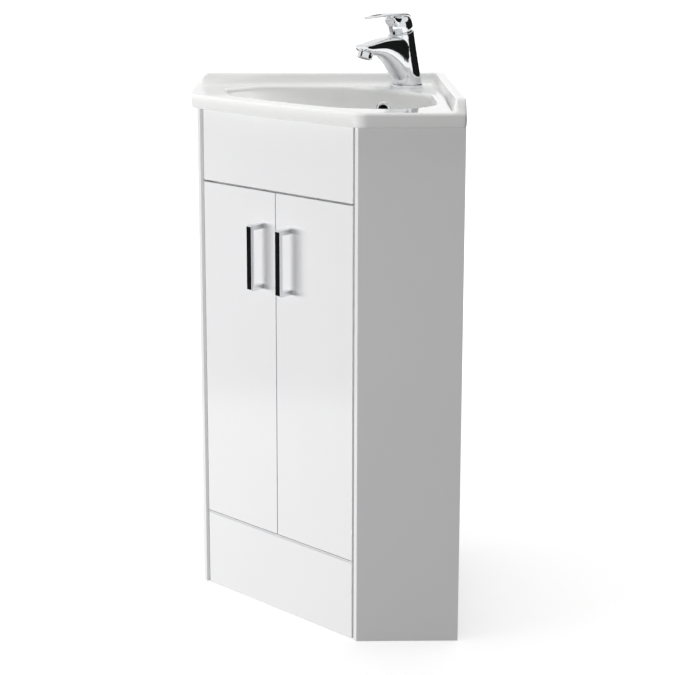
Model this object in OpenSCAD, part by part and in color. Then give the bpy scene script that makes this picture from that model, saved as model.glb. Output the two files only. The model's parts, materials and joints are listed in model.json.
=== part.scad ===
// Corner vanity unit: a five-sided cabinet with two doors, a ceramic basin and a lever tap.
// Millimetres. While a piece is drawn, x runs right, y runs back from the doors' front face
// and z runs up from the floor. The module placed() then centres the whole unit on the origin.

/* [Cabinet] */
// Clear width of the front, between the side panels' front edges
front_w = 334.2; // [320:1:350]
// Length of each side panel, from its front edge to the wall
panel_len = 158.5; // [150:1:175]
// Height of the side panels, which is the underside of the basin
cab_h = 807; // [780:1:830]
// Thickness of the carcass boards
board_t = 15; // [12:1:16]
// How far the side panels' front edges stand in front of the doors
front_proud = 1.9; // [0:0.1:4]
// Height of the plinth panel
plinth_h = 126; // [100:1:140]
// Height of the fascia panel above the doors
fascia_h = 114.5; // [100:0.5:124]
// Height of the rear rails
rail_h = 80; // [50:1:80]
// Side of the square post in the room's corner
post_w = 30; // [24:1:36]
// Depth of the flat rail behind the fascia
fascia_rail_d = 70; // [50:1:90]
// Height of the inner shelf's underside
inner_shelf_z = 380; // [330:1:440]
// How far the inner shelf stands back from the doors' front face
inner_shelf_y = 48; // [40:1:70]

/* [Doors] */
// Thickness of the doors, the fascia and the plinth
door_t = 16; // [15:1:19]
// Gap above and below the doors
door_gap = 3; // [2:0.5:4]
// Gap between the two doors
centre_gap = 2; // [1.5:0.5:4]
// Gap between a door's outer edge and the side panel
side_gap = 1.7; // [1.5:0.1:3]
// Gap between the doors' backs and the carcass
back_gap = 2; // [1.8:0.1:3]
// Distance from a door's end to its hinge
hinge_inset = 90; // [70:1:120]

/* [Handles] */
// Distance between a handle's two screws
handle_centres = 96; // [64:1:128]
// Overall length of a handle
handle_len = 104.5; // [104:0.5:110]
// How far a handle stands out from its door
handle_out = 27.5; // [24:0.5:34]
// Width of a handle, seen from the front
handle_w = 10; // [8:0.5:14]
// Thickness of a handle's bar
handle_bar_t = 6; // [5:0.5:8]
// Height of a handle's legs
handle_leg_h = 7.5; // [7:0.5:9]
// Distance from the unit's middle to a handle's middle
handle_x = 32; // [28:1:50]
// Distance from the doors' top edge down to the handles' middle
handle_drop = 103.75; // [80:0.25:180]

/* [Basin] */
// Height of the basin's rim
rim_h = 22.5; // [20:0.5:26]
// How far the rim hangs over the side panels
side_over = 13; // [8:0.5:16]
// How far the rim hangs over the doors' front at its middle
front_over = 17.5; // [12:0.5:24]
// Radius of the bowed front
bow_r = 1250; // [1000:10:1800]
// Radius of the rim's two front corners in plan
rim_corner_r = 18; // [12:1:26]
// Radius of the rim's upper edge
rim_edge_r = 5.5; // [3:0.5:8]
// Height of the upstand along the walls
upstand_h = 19; // [14:0.5:24]
// Thickness of the upstand at its top
upstand_t = 16; // [13:0.5:18]
// Depth of the bowl below the rim
bowl_depth = 115; // [100:1:118]
// Thickness of the bowl's wall
bowl_wall = 10; // [8:0.5:10.5]
// Thickness of the deck
deck_t = 12; // [10:0.5:14]
// Diameter of the overflow hole
overflow_d = 21; // [18:0.5:23]
// Diameter of the tap hole
tap_hole_d = 35; // [33:0.5:36]

/* [Tap] */
// Distance from the doors' front face to the tap's axis
tap_y = 303; // [298:1:308]
// Reach of the spout, from the tap's axis to the outlet's middle
spout_reach = 102; // [94:1:108]
// Radius of the tap's column at its foot
column_r = 24.6; // [23.5:0.1:25]
// Radius of the column's top, where the lever sits
column_top_r = 21.6; // [21:0.1:22.5]
// Height of the column's top above the deck, at its middle
column_h = 92; // [86:0.5:98]
// Forward tilt of the lever's turning axis, in degrees
tap_tilt = 14; // [10:1:16]
// Diameter of the outlet's housing
aerator_d = 24.5; // [22:0.5:25]
// Reach of the lever, from its pivot to its tip
lever_reach = 82; // [76:1:88]

/* [Waste and trap] */
// Diameter of the waste hole in the basin
waste_hole_d = 46; // [44:0.5:50]
// Outer diameter of the waste's threaded tube
waste_tube_d = 41; // [38:0.5:42]
// Diameter of the waste's flange
waste_flange_d = 62; // [58:1:63]
// How far the waste's tube runs down below the basin
waste_drop = 50.5; // [45:0.5:56]
// Inner diameter of the trap's outlet, for a 32 mm pipe
outlet_d = 32.4; // [32:0.1:34]
// Travel of the push plug
plug_travel = 7; // [5:0.5:9]

/* [Hidden] */
$fn = 48;

// Shared numbers
root2 = sqrt(2);
fit = 0.1;           // radial clearance of a piece in its own hole
over = 1;            // how far a cutter runs past the face it cuts
gloss_white = "#F4F4F4";
chrome = "#C9CCD0";
steel = "#B4B7BA";

// Plan of the cabinet. The side panels run back at 45 degrees and end square on the walls.
panel_in = [front_w / 2, board_t / root2 - front_proud];          // inner front corner
panel_out = [front_w / 2 + board_t / root2, -front_proud];        // outer front corner
wall_end = panel_in + panel_len * [1, 1] / root2;                 // inner rear corner
corner_y = panel_out.x + panel_out.y + panel_len * root2;         // the room's corner
wall_leg = wall_end.x * root2;             // along the wall, from the panel to the corner
side_shift = panel_in.x - panel_in.y;      // x minus y on the panel's inner face
rear_flat = 4;                             // how far the basin's rear corner is cut back
mid_y = (corner_y - rear_flat - handle_out) / 2;

// Heights and faces of the front
door_x = panel_in.x - side_gap;            // a door's outer edge, and its hinge axis
door_z = plinth_h + door_gap;
fascia_clear = 1;                          // gap between the fascia and the rim
fascia_z = cab_h - fascia_clear - fascia_h;
door_top = fascia_z - door_gap;
door_h = door_top - door_z;
handle_z = door_top - handle_drop;
carcass_y = door_t + back_gap;             // front edge of the shelf and of the rail
shelf_lap = 11;                            // how far the base shelf rises above the plinth
shelf_z = plinth_h + shelf_lap - board_t;
rail_lap = 11.5;                           // how far the fascia rail hangs below the doors' tops
rail_z = door_top - rail_lap;
block = [36, 20, 18];                      // a joint block: length, depth, height
block_x = 110;
rail_hole_in = 60;                         // from a rail's end to its wall screw
cam_d = 15;
cam_depth = 11;
cam_inset = 24;                            // from the panel to the middle of a cam
cam_spots = [40, 120];                     // along the side panel, from its front edge

// Shelf pins
pin_d = 5;
pin_in = 8;                                // length of a pin inside the board
pin_out = 9;                               // length of a pin that carries the shelf
pin_pad_t = 2;
pin_pitch = 32;
pin_spots = [58, 134];                     // along the side panel, from its front edge
shelf_clear = 1;                           // between the inner shelf and the boards
post_cut = 8;                              // chamfer on two edges of the corner post

// Cup hinges, drawn about the door's hinge axis
cup_d = 35;
cup_x = 22.5;                              // from the hinge axis to the cup's middle
cup_depth = 12.5;
cup_wall = 1.3;
cup_floor = 1;
cup_plate_t = 1.2;
cup_screw_pitch = 45;
link_r = 26;                               // radius of the curved link's middle
link_t = 2.5;
link_h = 9;
link_from = 60.5;                          // the link's two ends, in degrees round the axis
link_to = 168.5;
rivet_d = 2.4;
rivet_at = 166.5;
arm_to = 157;                              // the arm's nose, in degrees round the axis
arm_gap = 0.5;                             // between the link and the arm's channel
arm_t = 1.25;
arm_inner_r = link_r - link_t;
arm_web_r = link_r + link_t / 2 + arm_gap;
arm_h = link_h + 2 * (arm_gap + arm_t);
plate_screw_s = 37;                        // from the panel's front edge to the screws
plate_screw_pitch = 32;
plate_t = 2;
plate_block_h = 9;
strap_t = 1.5;
strap_from = 17;
strap_to = 60;
hinge_heights = [door_z + hinge_inset, door_top - hinge_inset];

// Basin
deck_z = cab_h + rim_h;
rim_shift = panel_out.x - panel_out.y + side_over * root2;   // x minus y on the rim's side
bow_y = bow_r - front_over;                // centre of the front's bow
foot_r = 3;                                // radius of the rim's lower edge
flange_w = 32;                             // width of the rim's foot all round
pocket_y = 45;
upstand_cove = 10;                         // how far the cove runs out from the upstand
upstand_edge = 4.5;                        // rounding of the upstand's inner edge
upstand_back = 0.05;                       // the upstand's back stands off the rim's back
upstand_run = 23;                          // length over which the upstand's ends rise
bowl_y = 150;                              // centre of the bowl and of the waste
bowl_lip = 4;
bowl_sharp = 22;                           // higher is a crisper outline
bowl_curve = 2.6;                          // higher is a squarer section
// Each side of the bowl: direction of its outward normal in degrees, distance from the middle
bowl_sides = [[90, 102], [45, 143], [135, 143], [0, 201], [180, 201],
              [-57, 179], [-123, 179], [-90, 136]];
bowl_end_turn = 11.5;                      // the ends' middles, in degrees forward of the sides
bowl_floor_r = 32;
bowl_steps = [1, 0.985, 0.955, 0.91, 0.85, 0.78, 0.69, 0.59, 0.48, 0.36, 0.24, 0.12, 0];
bowl_n = 72;
boss_r = 34;
boss_z = deck_z - bowl_depth - 24;
floor_z = deck_z - bowl_depth;
overflow_z = deck_z - 33;
overflow_flange_d = overflow_d + 10;
overflow_tilt = 6;                         // the bowl's rear wall leans back by this much
overflow_y = bowl_y + bowl_sides[0][1] - bowl_lip - 1.8;
overflow_seat = 0.4;                       // depth of the flat seat under the ring
channel_y = bowl_y + bowl_sides[0][1] + bowl_wall + 3;
channel_r = 7;
channel_wall = 5;
channel_foot = 28;                         // height of the channel's foot above the boss

// Waste
waste_end_z = boss_z - waste_drop;
seal_t = 1.5;
waste_flange_t = 2.5;
waste_bore_r = waste_tube_d / 2 - 3;
waste_top_z = floor_z + seal_t + waste_flange_t;
lower_seal_t = 4;
waste_nut_h = 10;
waste_nut_r = 30;
plug_r = 26;
plug_t = 3.2;
plug_stem_r = 4;
plug_gap = 0.3;
guide_z = boss_z - 8;

// Trap
neck_r = 16.5;
neck_wall = 2.5;
nut_lip = 3;
collar_t = 3;
inlet_nut_h = 20;
trap_nut_wall = 6;
trap_r = 30;
trap_wall = 3;
trap_top_z = waste_end_z - 38;
trap_skirt_z = waste_end_z - 80;
outlet_z = waste_end_z - 56;
outlet_turn = 45;                          // the outlet points at the right wall, in degrees
outlet_end = 74;
outlet_socket = 29;
outlet_wall = 3;
bottle_z = waste_end_z - 135;
bottle_h = 58;
bottle_grips = 12;
bottle_grip_h = 16;
neck_clear = 22;                           // below the dip tube, to the bottle's floor

// Tap
ring_r = 27.2;
ring_h = 6;
column_lean = 1.5;                         // the column's foot stands this far back
column_z = deck_z + ring_h;
top_at = [0, tap_y - 15.5, deck_z + column_h];      // middle of the column's top
outlet_at = [0, tap_y - spout_reach, deck_z + 54.5];  // middle of the outlet's face
outlet_tilt = 20;
aerator_h = 9;
aerator_seat = 7;
aerator_stub = 5;                          // length of the housing's end inside the spout
// Rows across the spout: y from the outlet's middle, top below the column's top, underside
// above the deck, half width
spout_rows = [[-7, -17.4, 67, 12], [-6.5, -16.4, 65.8, 13], [-5.2, -15.7, 65.2, 13.7],
              [5, -14.2, 60.5, 14.4], [18, -11.6, 58, 15], [33, -9, 54.5, 15.8],
              [44, -7.6, 49, 16.8], [54, -6.8, 41, 18], [64, -6.6, 30.5, 19.5],
              [74, -7.4, 18, 20.5], [88, -9, 8, 20.5]];
cartridge_d = 35;
cartridge_depth = 24;
pivot_h = 8;                               // lever pivot above the column's top
lever_pivot = top_at + pivot_h * [0, -sin(tap_tilt), cos(tap_tilt)];
dome_r = 18.8;
dome_t = 2.5;
dome_hole_r = 12;
lever_gap = 0.5;
lever_front_gap = 0.8;
lever_back_gap = 8.6;
// Rows across the lever's blade: y and z from the pivot, half width, downward slope to the
// back in degrees, thickness
blade_rows = [[19, 10, 9, 45, 5], [14, 17, 12, 38, 6], [4, 20.8, 15, 14, 6],
              [-10, 21.9, 15.5, 2, 5.2], [-25, 21.9, 15, -2, 4.6], [-43, 21.8, 14, -4, 4.1],
              [-59, 20.6, 12.8, -8, 3.6], [-70, 19.6, 11.3, -8, 3.4], [-78, 19, 8, -8, 3],
              [-81, 18.8, 5, -8, 2.6], [-82, 18.8, 2.5, -8, 2]];
// Rows across the web in front of the cap, below the blade
web_rows = [[-8, 11, 15, 0, 18], [-16, 10.2, 14.5, 0, 20.5], [-21, 11.5, 13.5, 0, 19],
            [-24, 14, 13, 0, 14], [-27, 17.3, 12.5, 0, 7.5], [-32, 18.7, 12, 0, 4.5],
            [-38, 20, 11, 0, 3]];
lever_cut = 60;                            // size of a cutter, larger than the lever's cap
slot_r = 5.5;                              // half width of the opening in the blade
slot_ends = [19.5, 40.5];                  // middles of the opening's ends, from the tip
spindle_r = 5;
spindle_disc_r = 12;
spigot_r = tap_hole_d / 2 - 1;
spigot_z = deck_z - 8;
inlet_r = 4.5;
inlet_x = 7.5;
inlet_depth = 12;
stud_r = 4;
stud_y = tap_y - 10;
stud_len = 52;
clamp_r = 24;
clamp_t = 3;
clamp_slot_w = 27;
clamp_slot_y = tap_y - 4;
tap_seal_t = 3;
deck_under = deck_z - deck_t;

// ---------------------------------------------------------------- helpers

// Moves a piece from the front's own place to the unit's origin, which is below its middle.
module placed() { translate([0, -mid_y, 0]) children(); }

// A piece and its mirror image on the other side.
module both() { children(); mirror([1, 0, 0]) children(); }

// On the right panel's inner face: x back along the panel, y into the cabinet.
module on_panel(s = 0, z = 0) {
    translate([panel_in.x, panel_in.y, 0]) rotate([0, 0, 45]) translate([s, 0, z]) children();
}

// On the right wall: x along the wall to the room's corner, y into the cabinet.
module on_wall(s = 0, z = 0) {
    translate([wall_end.x, wall_end.y, 0]) rotate([0, 0, 135]) translate([s, 0, z]) children();
}

// A solid through rings of points. Each ring turns by the right hand about the way it travels.
module loft(rings) {
    n = len(rings[0]);
    last = (len(rings) - 1) * n;
    polyhedron(
        points = [for (ring = rings) each ring],
        faces = concat(
            [[for (i = [0 : n - 1]) i]],
            [for (k = [0 : len(rings) - 2], i = [0 : n - 1])
                [k * n + i, (k + 1) * n + i, (k + 1) * n + (i + 1) % n]],
            [for (k = [0 : len(rings) - 2], i = [0 : n - 1])
                [k * n + i, (k + 1) * n + (i + 1) % n, k * n + (i + 1) % n]],
            [[for (i = [n - 1 : -1 : 0]) last + i]]),
        convexity = 6);
}

// A point between two others.
function blend(a, b, t) = a + (b - a) * t;

// A soft step from 0 to 1.
function soft(t) = t * t * (3 - 2 * t);

// A sector of a ring, lying flat, between two angles.
module ring_sector(r_in, r_out, from, to, h) {
    rotate([0, 0, from]) translate([0, 0, -h / 2])
        rotate_extrude(angle = to - from, $fn = 96)
            translate([r_in, 0]) square([r_out - r_in, h]);
}

// A plain ring or tube.
module tube(r_out, r_in, h) {
    difference() {
        cylinder(r = r_out, h = h);
        translate([0, 0, -over]) cylinder(r = r_in, h = h + 2 * over);
    }
}

// A countersunk wood screw that enters along -y, its head's face at y = 0.
module wood_screw(head_r, shank_r, len) {
    rotate([90, 0, 0]) {
        cylinder(r = head_r, h = 1.2);
        translate([0, 0, 1.2 - fit]) cylinder(r = shank_r, h = len - 1.2 + fit);
    }
}

// ---------------------------------------------------------------- carcass

module side_panel() {
    difference() {
        on_panel() translate([0, -board_t, 0]) cube([panel_len, board_t, cab_h]);
        for (s = pin_spots, row = [-1 : 1])
            on_panel(s, inner_shelf_z - pin_d / 2 + row * pin_pitch)
                rotate([90, 0, 0]) translate([0, 0, -over])
                    cylinder(d = pin_d + 2 * fit, h = pin_in + 2 * over);
        for (z = hinge_heights, side = [-1, 1])
            on_panel(plate_screw_s, z + side * plate_screw_pitch / 2)
                rotate([90, 0, 0]) translate([0, 0, -over])
                    cylinder(r = 2 + fit, h = 12 + over);
    }
}

module left_side_panel() { color(gloss_white) placed() mirror([1, 0, 0]) side_panel(); }
module right_side_panel() { color(gloss_white) placed() side_panel(); }

// Five sides in plan: a front line, two sides at 45 degrees and two walls. The shift is x minus y
// on the right side, and the reach is x plus y on the right wall.
module corner_plan(front_y, shift, reach) {
    rear = [(reach + shift) / 2, (reach - shift) / 2];
    polygon([[-shift - front_y, front_y], [shift + front_y, front_y], rear, [0, reach],
             [-rear.x, rear.y]]);
}

// The plan inside the side panels and the walls.
module inside_plan(front_y, side_in = 0, wall_in = 0) {
    corner_plan(front_y, side_shift - side_in * root2, corner_y - wall_in * root2);
}

// The square of the corner post, with its front edge cut flat.
module post_plan(grow = 0) {
    w = post_w + grow;
    translate([0, corner_y]) rotate([0, 0, -135])
        polygon([[0, 0], [w, 0], [w, w - post_cut], [w - post_cut, w], [0, w]]);
}

module corner_post() {
    color(gloss_white) placed() difference() {
        linear_extrude(cab_h) difference() {
            post_plan();
            translate([-post_cut, corner_y - post_cut / root2]) square(2 * post_cut);
        }
        translate([0, corner_y - post_w * root2, inner_shelf_z - pin_d / 2])
            rotate([-90, 0, 0]) cylinder(d = pin_d + 2 * fit, h = post_cut / root2 + pin_in);
    }
}

module cam_places() {
    both() for (s = cam_spots) on_panel(s) translate([0, cam_inset, 0]) children();
}

module base_shelf() {
    color(gloss_white) placed() difference() {
        translate([0, 0, shelf_z]) linear_extrude(board_t) difference() {
            inside_plan(carcass_y);
            post_plan();
        }
        translate([0, 0, shelf_z - over]) cam_places()
            cylinder(d = cam_d + 2 * fit, h = cam_depth + over + fit);
    }
}

module fascia_rail() {
    color(gloss_white) placed() difference() {
        translate([0, 0, rail_z]) linear_extrude(board_t) intersection() {
            inside_plan(carcass_y);
            translate([-front_w, 0]) square([2 * front_w, carcass_y + fascia_rail_d]);
        }
        translate([0, 0, rail_z - over]) both() on_panel(cam_spots[0])
            translate([0, cam_inset, 0]) cylinder(d = cam_d + 2 * fit, h = cam_depth + over + fit);
    }
}

module front_board(z, h) {
    translate([-door_x, 0, z]) cube([2 * door_x, door_t, h]);
}

module plinth_panel() { color(gloss_white) placed() front_board(0, plinth_h); }
module fascia_panel() { color(gloss_white) placed() front_board(fascia_z, fascia_h); }

module joint_block() {
    difference() {
        translate([-block.x / 2, 0, 0]) cube(block);
        for (side = [-1, 1]) translate([side * block.x / 4, block.y / 2, -over])
            cylinder(r = 2.2, h = block.z + 2 * over);
        translate([0, -over, block.z / 2]) rotate([-90, 0, 0])
            cylinder(r = 2.2, h = block.y + 2 * over);
    }
}

module joint_blocks() {
    color("#E6E6E4") placed() both() {
        translate([block_x, door_t, shelf_z - block.z]) joint_block();
        translate([block_x, door_t, rail_z + board_t]) joint_block();
    }
}

module cam_lock() {
    difference() {
        cylinder(d = cam_d, h = cam_depth);
        for (turn = [0, 90]) rotate([0, 0, turn]) translate([-5, -0.8, -over])
            cube([10, 1.6, over + 2.5]);
    }
}

module cam_locks() {
    color(steel) placed() {
        translate([0, 0, shelf_z]) cam_places() cam_lock();
        translate([0, 0, rail_z]) both() on_panel(cam_spots[0])
            translate([0, cam_inset, 0]) cam_lock();
    }
}

// A rail along the right wall, from the side panel to the corner post, with two wall holes.
module wall_rail(z) {
    difference() {
        on_wall(0, z) cube([wall_leg - post_w, board_t, rail_h]);
        for (s = [rail_hole_in, wall_leg - post_w - rail_hole_in])
            on_wall(s, z + rail_h / 2) translate([0, -over, 0]) rotate([-90, 0, 0])
                cylinder(r = 2.75, h = board_t + 2 * over);
    }
}

module upper_rail_left() {
    color(gloss_white) placed() mirror([1, 0, 0]) wall_rail(cab_h - rail_h);
}
module upper_rail_right() { color(gloss_white) placed() wall_rail(cab_h - rail_h); }
module lower_rail_left() {
    color(gloss_white) placed() mirror([1, 0, 0]) wall_rail(shelf_z - rail_h);
}
module lower_rail_right() { color(gloss_white) placed() wall_rail(shelf_z - rail_h); }

module inner_shelf() {
    color(gloss_white) placed() translate([0, 0, inner_shelf_z]) linear_extrude(board_t)
        difference() {
            inside_plan(inner_shelf_y, shelf_clear, board_t);
            post_plan(shelf_clear);
        }
}

// A shelf pin that enters along -y from the board's face, with a flat pad under the shelf.
module shelf_pin() {
    translate([0, 0, -pin_d / 2]) rotate([90, 0, 0]) translate([0, 0, -pin_out])
        cylinder(d = pin_d, h = pin_out + pin_in);
    translate([-pin_d, 0, -pin_pad_t]) cube([2 * pin_d, pin_out, pin_pad_t]);
}

module shelf_pins() {
    color(steel) placed() {
        both() for (s = pin_spots) on_panel(s, inner_shelf_z) shelf_pin();
        translate([0, corner_y - post_w * root2 + post_cut / root2, inner_shelf_z])
            rotate([0, 0, 180]) shelf_pin();
    }
}

// ---------------------------------------------------------------- doors

module at_hinges(mirrored = false) {
    mirror([mirrored ? 1 : 0, 0, 0]) for (z = hinge_heights)
        translate([door_x, 0, z]) children();
}

module at_handle_screws() {
    for (side = [-1, 1]) translate([handle_x, 0, handle_z + side * handle_centres / 2])
        children();
}

module cup_screw_spots() {
    for (side = [-1, 1]) translate([-cup_x - 9.5, door_t, side * cup_screw_pitch / 2])
        children();
}

module door() {
    difference() {
        translate([centre_gap / 2, 0, door_z])
            cube([door_x - centre_gap / 2, door_t, door_h]);
        at_hinges() {
            translate([-cup_x, door_t + over, 0]) rotate([90, 0, 0])
                cylinder(d = cup_d + 2 * fit, h = cup_depth + over + fit);
            cup_screw_spots() translate([0, over, 0]) rotate([90, 0, 0])
                cylinder(r = 1.75 + fit, h = 10 + over);
        }
        at_handle_screws() translate([0, -over, 0]) rotate([-90, 0, 0])
            cylinder(r = 2.25, h = door_t + 2 * over);
    }
}

module left_door() { color(gloss_white) placed() mirror([1, 0, 0]) door(); }
module right_door() { color(gloss_white) placed() door(); }

module handle() {
    round_r = 2.5;
    low = handle_z - handle_len / 2;
    difference() {
        translate([handle_x - handle_w / 2, 0, 0]) rotate([90, 0, 90]) linear_extrude(handle_w)
            difference() {
                union() {
                    translate([-handle_out + round_r, low])
                        square([handle_out - round_r, handle_len]);
                    translate([-handle_out, low + round_r])
                        square([handle_out, handle_len - 2 * round_r]);
                    for (z = [low + round_r, low + handle_len - round_r])
                        translate([-handle_out + round_r, z]) circle(round_r);
                }
                translate([-handle_out + handle_bar_t, low + handle_leg_h])
                    square([handle_out, handle_len - 2 * handle_leg_h]);
            }
        at_handle_screws() translate([0, over, 0]) rotate([90, 0, 0])
            cylinder(r = 2 + fit / 2, h = 12 + over);
    }
}

module left_handle() { color(chrome) placed() mirror([1, 0, 0]) handle(); }
module right_handle() { color(chrome) placed() handle(); }

module handle_screws() {
    at_handle_screws() difference() {
        union() {
            translate([0, door_t, 0]) rotate([-90, 0, 0]) cylinder(r = 4, h = 2.4);
            translate([0, -10, 0]) rotate([-90, 0, 0]) cylinder(r = 2, h = door_t + 10.5);
        }
        translate([-3, door_t + 1.4, -0.5]) cube([6, 2, 1]);
        translate([-0.5, door_t + 1.4, -3]) cube([1, 2, 6]);
    }
}

module left_handle_screws() { color(steel) placed() mirror([1, 0, 0]) handle_screws(); }
module right_handle_screws() { color(steel) placed() handle_screws(); }

module door_buffers() {
    for (z = [door_z + 4, door_top - 5]) translate([centre_gap / 2 + 12, door_t, z])
        rotate([-90, 0, 0]) cylinder(r = 3, h = back_gap - 0.3);
}

module left_door_buffers() { color("#D8DADA") placed() mirror([1, 0, 0]) door_buffers(); }
module right_door_buffers() { color("#D8DADA") placed() door_buffers(); }

// ---------------------------------------------------------------- hinges

// The steel cup in the door, with its fixing plate on the door's back.
module hinge_cup() {
    cup_r = cup_d / 2;
    plate_w = 13;
    plate_len = cup_screw_pitch + 11;
    difference() {
        union() {
            translate([-cup_x, door_t - cup_depth, 0]) rotate([-90, 0, 0])
                cylinder(r = cup_r, h = cup_depth);
            translate([-cup_x, door_t, 0]) rotate([-90, 0, 0])
                cylinder(r = cup_r + 1.5, h = cup_plate_t);
            translate([-cup_x - 9.5 - plate_w / 2, door_t, -plate_len / 2])
                cube([plate_w, cup_plate_t, plate_len]);
        }
        translate([-cup_x, door_t - cup_depth + cup_floor, 0]) rotate([-90, 0, 0])
            cylinder(r = cup_r - cup_wall, h = cup_depth + cup_plate_t + over);
        translate([link_r * cos(rivet_at), link_r * sin(rivet_at), -cup_r])
            cylinder(d = rivet_d + fit, h = 2 * cup_r);
        cup_screw_spots() rotate([-90, 0, 0])
            translate([0, 0, -over]) cylinder(r = 1.75 + fit, h = cup_plate_t + 2 * over);
    }
}

// The curved link, riveted across the cup. It slides round the door's axis in the arm.
module hinge_link() {
    ring_sector(link_r - link_t / 2, link_r + link_t / 2, link_from, link_to, link_h);
    translate([link_r * cos(rivet_at), link_r * sin(rivet_at), -cup_d / 2 + cup_wall / 2])
        cylinder(d = rivet_d, h = cup_d - cup_wall);
}

// The arm: a curved channel round the link, and a strap back along the side panel.
module hinge_arm() {
    axis_s = -(side_gap + panel_in.y) / root2;
    axis_d = (side_gap - panel_in.y) / root2;
    ring_sector(arm_web_r, arm_web_r + arm_t, link_from, arm_to, arm_h);
    for (side = [-1, 1]) translate([0, 0, side * (arm_h - arm_t) / 2])
        ring_sector(arm_inner_r, arm_web_r + arm_t / 2, link_from, arm_to, arm_t);
    rotate([0, 0, 45]) difference() {
        translate([strap_from - axis_s, plate_block_h - axis_d, -arm_h / 2])
            cube([strap_to - strap_from, strap_t, arm_h]);
        translate([strap_to - 10 - axis_s, plate_block_h - axis_d - over, 0])
            rotate([-90, 0, 0]) cylinder(r = 2.5 + fit, h = strap_t + 2 * over);
    }
}

// The mounting plate on the side panel: two wings with screw holes and a raised block.
module hinge_plate(z) {
    on_panel(0, z) difference() {
        union() {
            translate([plate_screw_s - 7, 0, -plate_screw_pitch / 2 - 7])
                cube([14, plate_t, plate_screw_pitch + 14]);
            translate([25, 0, -arm_h / 2]) cube([strap_to - 25, plate_block_h, arm_h]);
        }
        for (side = [-1, 1]) translate([plate_screw_s, -over, side * plate_screw_pitch / 2])
            rotate([-90, 0, 0]) cylinder(r = 2 + fit, h = plate_t + 2 * over);
        translate([strap_to - 10, plate_block_h - 7, 0]) rotate([-90, 0, 0])
            cylinder(r = 2.5 + fit, h = 7 + over);
    }
}

module left_hinge_cups() { color(steel) placed() at_hinges(true) hinge_cup(); }
module right_hinge_cups() { color(steel) placed() at_hinges() hinge_cup(); }
module left_cup_screws() {
    color(steel) placed() at_hinges(true) cup_screw_spots()
        translate([0, cup_plate_t + 1.2, 0]) wood_screw(3.2, 1.75, 11);
}
module right_cup_screws() {
    color(steel) placed() at_hinges() cup_screw_spots()
        translate([0, cup_plate_t + 1.2, 0]) wood_screw(3.2, 1.75, 11);
}
module left_hinge_links() { color(steel) placed() at_hinges(true) hinge_link(); }
module right_hinge_links() { color(steel) placed() at_hinges() hinge_link(); }
module left_hinge_arms() { color(steel) placed() at_hinges(true) hinge_arm(); }
module right_hinge_arms() { color(steel) placed() at_hinges() hinge_arm(); }
module left_hinge_plates() {
    color(steel) placed() mirror([1, 0, 0]) for (z = hinge_heights) hinge_plate(z);
}
module right_hinge_plates() { color(steel) placed() for (z = hinge_heights) hinge_plate(z); }

module hinge_screws() {
    color(steel) placed() both() for (z = hinge_heights) {
        for (side = [-1, 1])
            on_panel(plate_screw_s, z + side * plate_screw_pitch / 2)
                translate([0, plate_t + 1.2, 0]) wood_screw(3.6, 2, 13);
        on_panel(strap_to - 10, z) translate([0, plate_block_h + strap_t + 1.2, 0])
            wood_screw(3.8, 2.5, 8);
    }
}

// ---------------------------------------------------------------- basin

// The rim's outline in plan, drawn in by the inset on its front and sides, not on the walls.
function rim_outline(inset) = let(
    k = rim_shift - rim_corner_r * root2 + bow_y,
    far = bow_r - rim_corner_r,
    fx = (k - sqrt(2 * far * far - k * k)) / 2,
    fillet = [fx, fx - (rim_shift - rim_corner_r * root2)],
    turn = atan2(fillet.y - bow_y, fillet.x),
    r = rim_corner_r - inset,
    shift = rim_shift - inset * root2,
    rear = [(corner_y + shift) / 2, (corner_y - shift) / 2],
    right = concat(
        [for (i = [1 : 5]) let(a = -90 + (turn + 90) * i / 6)
            [(bow_r - inset) * cos(a), bow_y + (bow_r - inset) * sin(a)]],
        [for (i = [0 : 5]) let(a = turn + (-45 - turn) * i / 5) fillet + r * [cos(a), sin(a)]],
        [rear, [over, corner_y - over]]))
    concat([[0, bow_y - bow_r + inset]], right,
           [for (i = [len(right) - 1 : -1 : 0]) [-right[i].x, right[i].y]]);

function lift(outline, z) = [for (p = outline) [p.x, p.y, z]];

module rim() {
    loft(concat(
        [for (a = [0, 30, 60, 90])
            lift(rim_outline(foot_r * (1 - sin(a))), cab_h + foot_r * (1 - cos(a)))],
        [for (a = [0 : 18 : 90])
            lift(rim_outline(rim_edge_r * (1 - cos(a))), deck_z - rim_edge_r * (1 - sin(a)))]));
}

// The section of the upstand: distance out from the wall, and height as a share. From the foot
// of the cove it rises to the rounded top and comes down the wall.
upstand_section = concat(
    [[upstand_t + upstand_cove, -0.1]],
    [for (t = [1 : -0.25 : 0.25])
        [upstand_t + upstand_cove * (1 - sqrt(1 - t * t)), 0.85 * (1 - t)]],
    [for (a = [90 : -30 : 0]) [upstand_t - upstand_edge * (1 - sin(a)), 1 - 0.15 * (1 - cos(a))]],
    [[upstand_back, 1], [upstand_back, -0.1]]);

// The upstand on the right wall. It rises from the rim's side and ends in the room's corner.
module upstand() {
    side_end = [(corner_y + rim_shift) / 2, (corner_y - rim_shift) / 2];
    along = [-1, 1] / root2;
    inward = [-1, -1] / root2;
    loft(concat(
        [for (t = [0 : 0.125 : 1]) [for (p = upstand_section)
            let(spot = side_end + along * (0.02 + t * upstand_run) + inward * p[0])
            [spot.x, spot.y, deck_z + p[1] * upstand_h * (p[1] < 0 ? 1 : 0.06 + 0.94 * soft(t))]]],
        [[for (p = upstand_section)
            [0, corner_y - p[0] * root2, deck_z + p[1] * upstand_h]]]));
}

// How far the bowl reaches from its middle in a direction: its sides, blended where they meet.
function bowl_reach(a, grow = 0) = pow(
    [for (s = bowl_sides) pow(max(0, cos(a - s[0])) / (s[1] + grow), bowl_sharp)]
        * [for (s = bowl_sides) 1], -1 / bowl_sharp);

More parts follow.
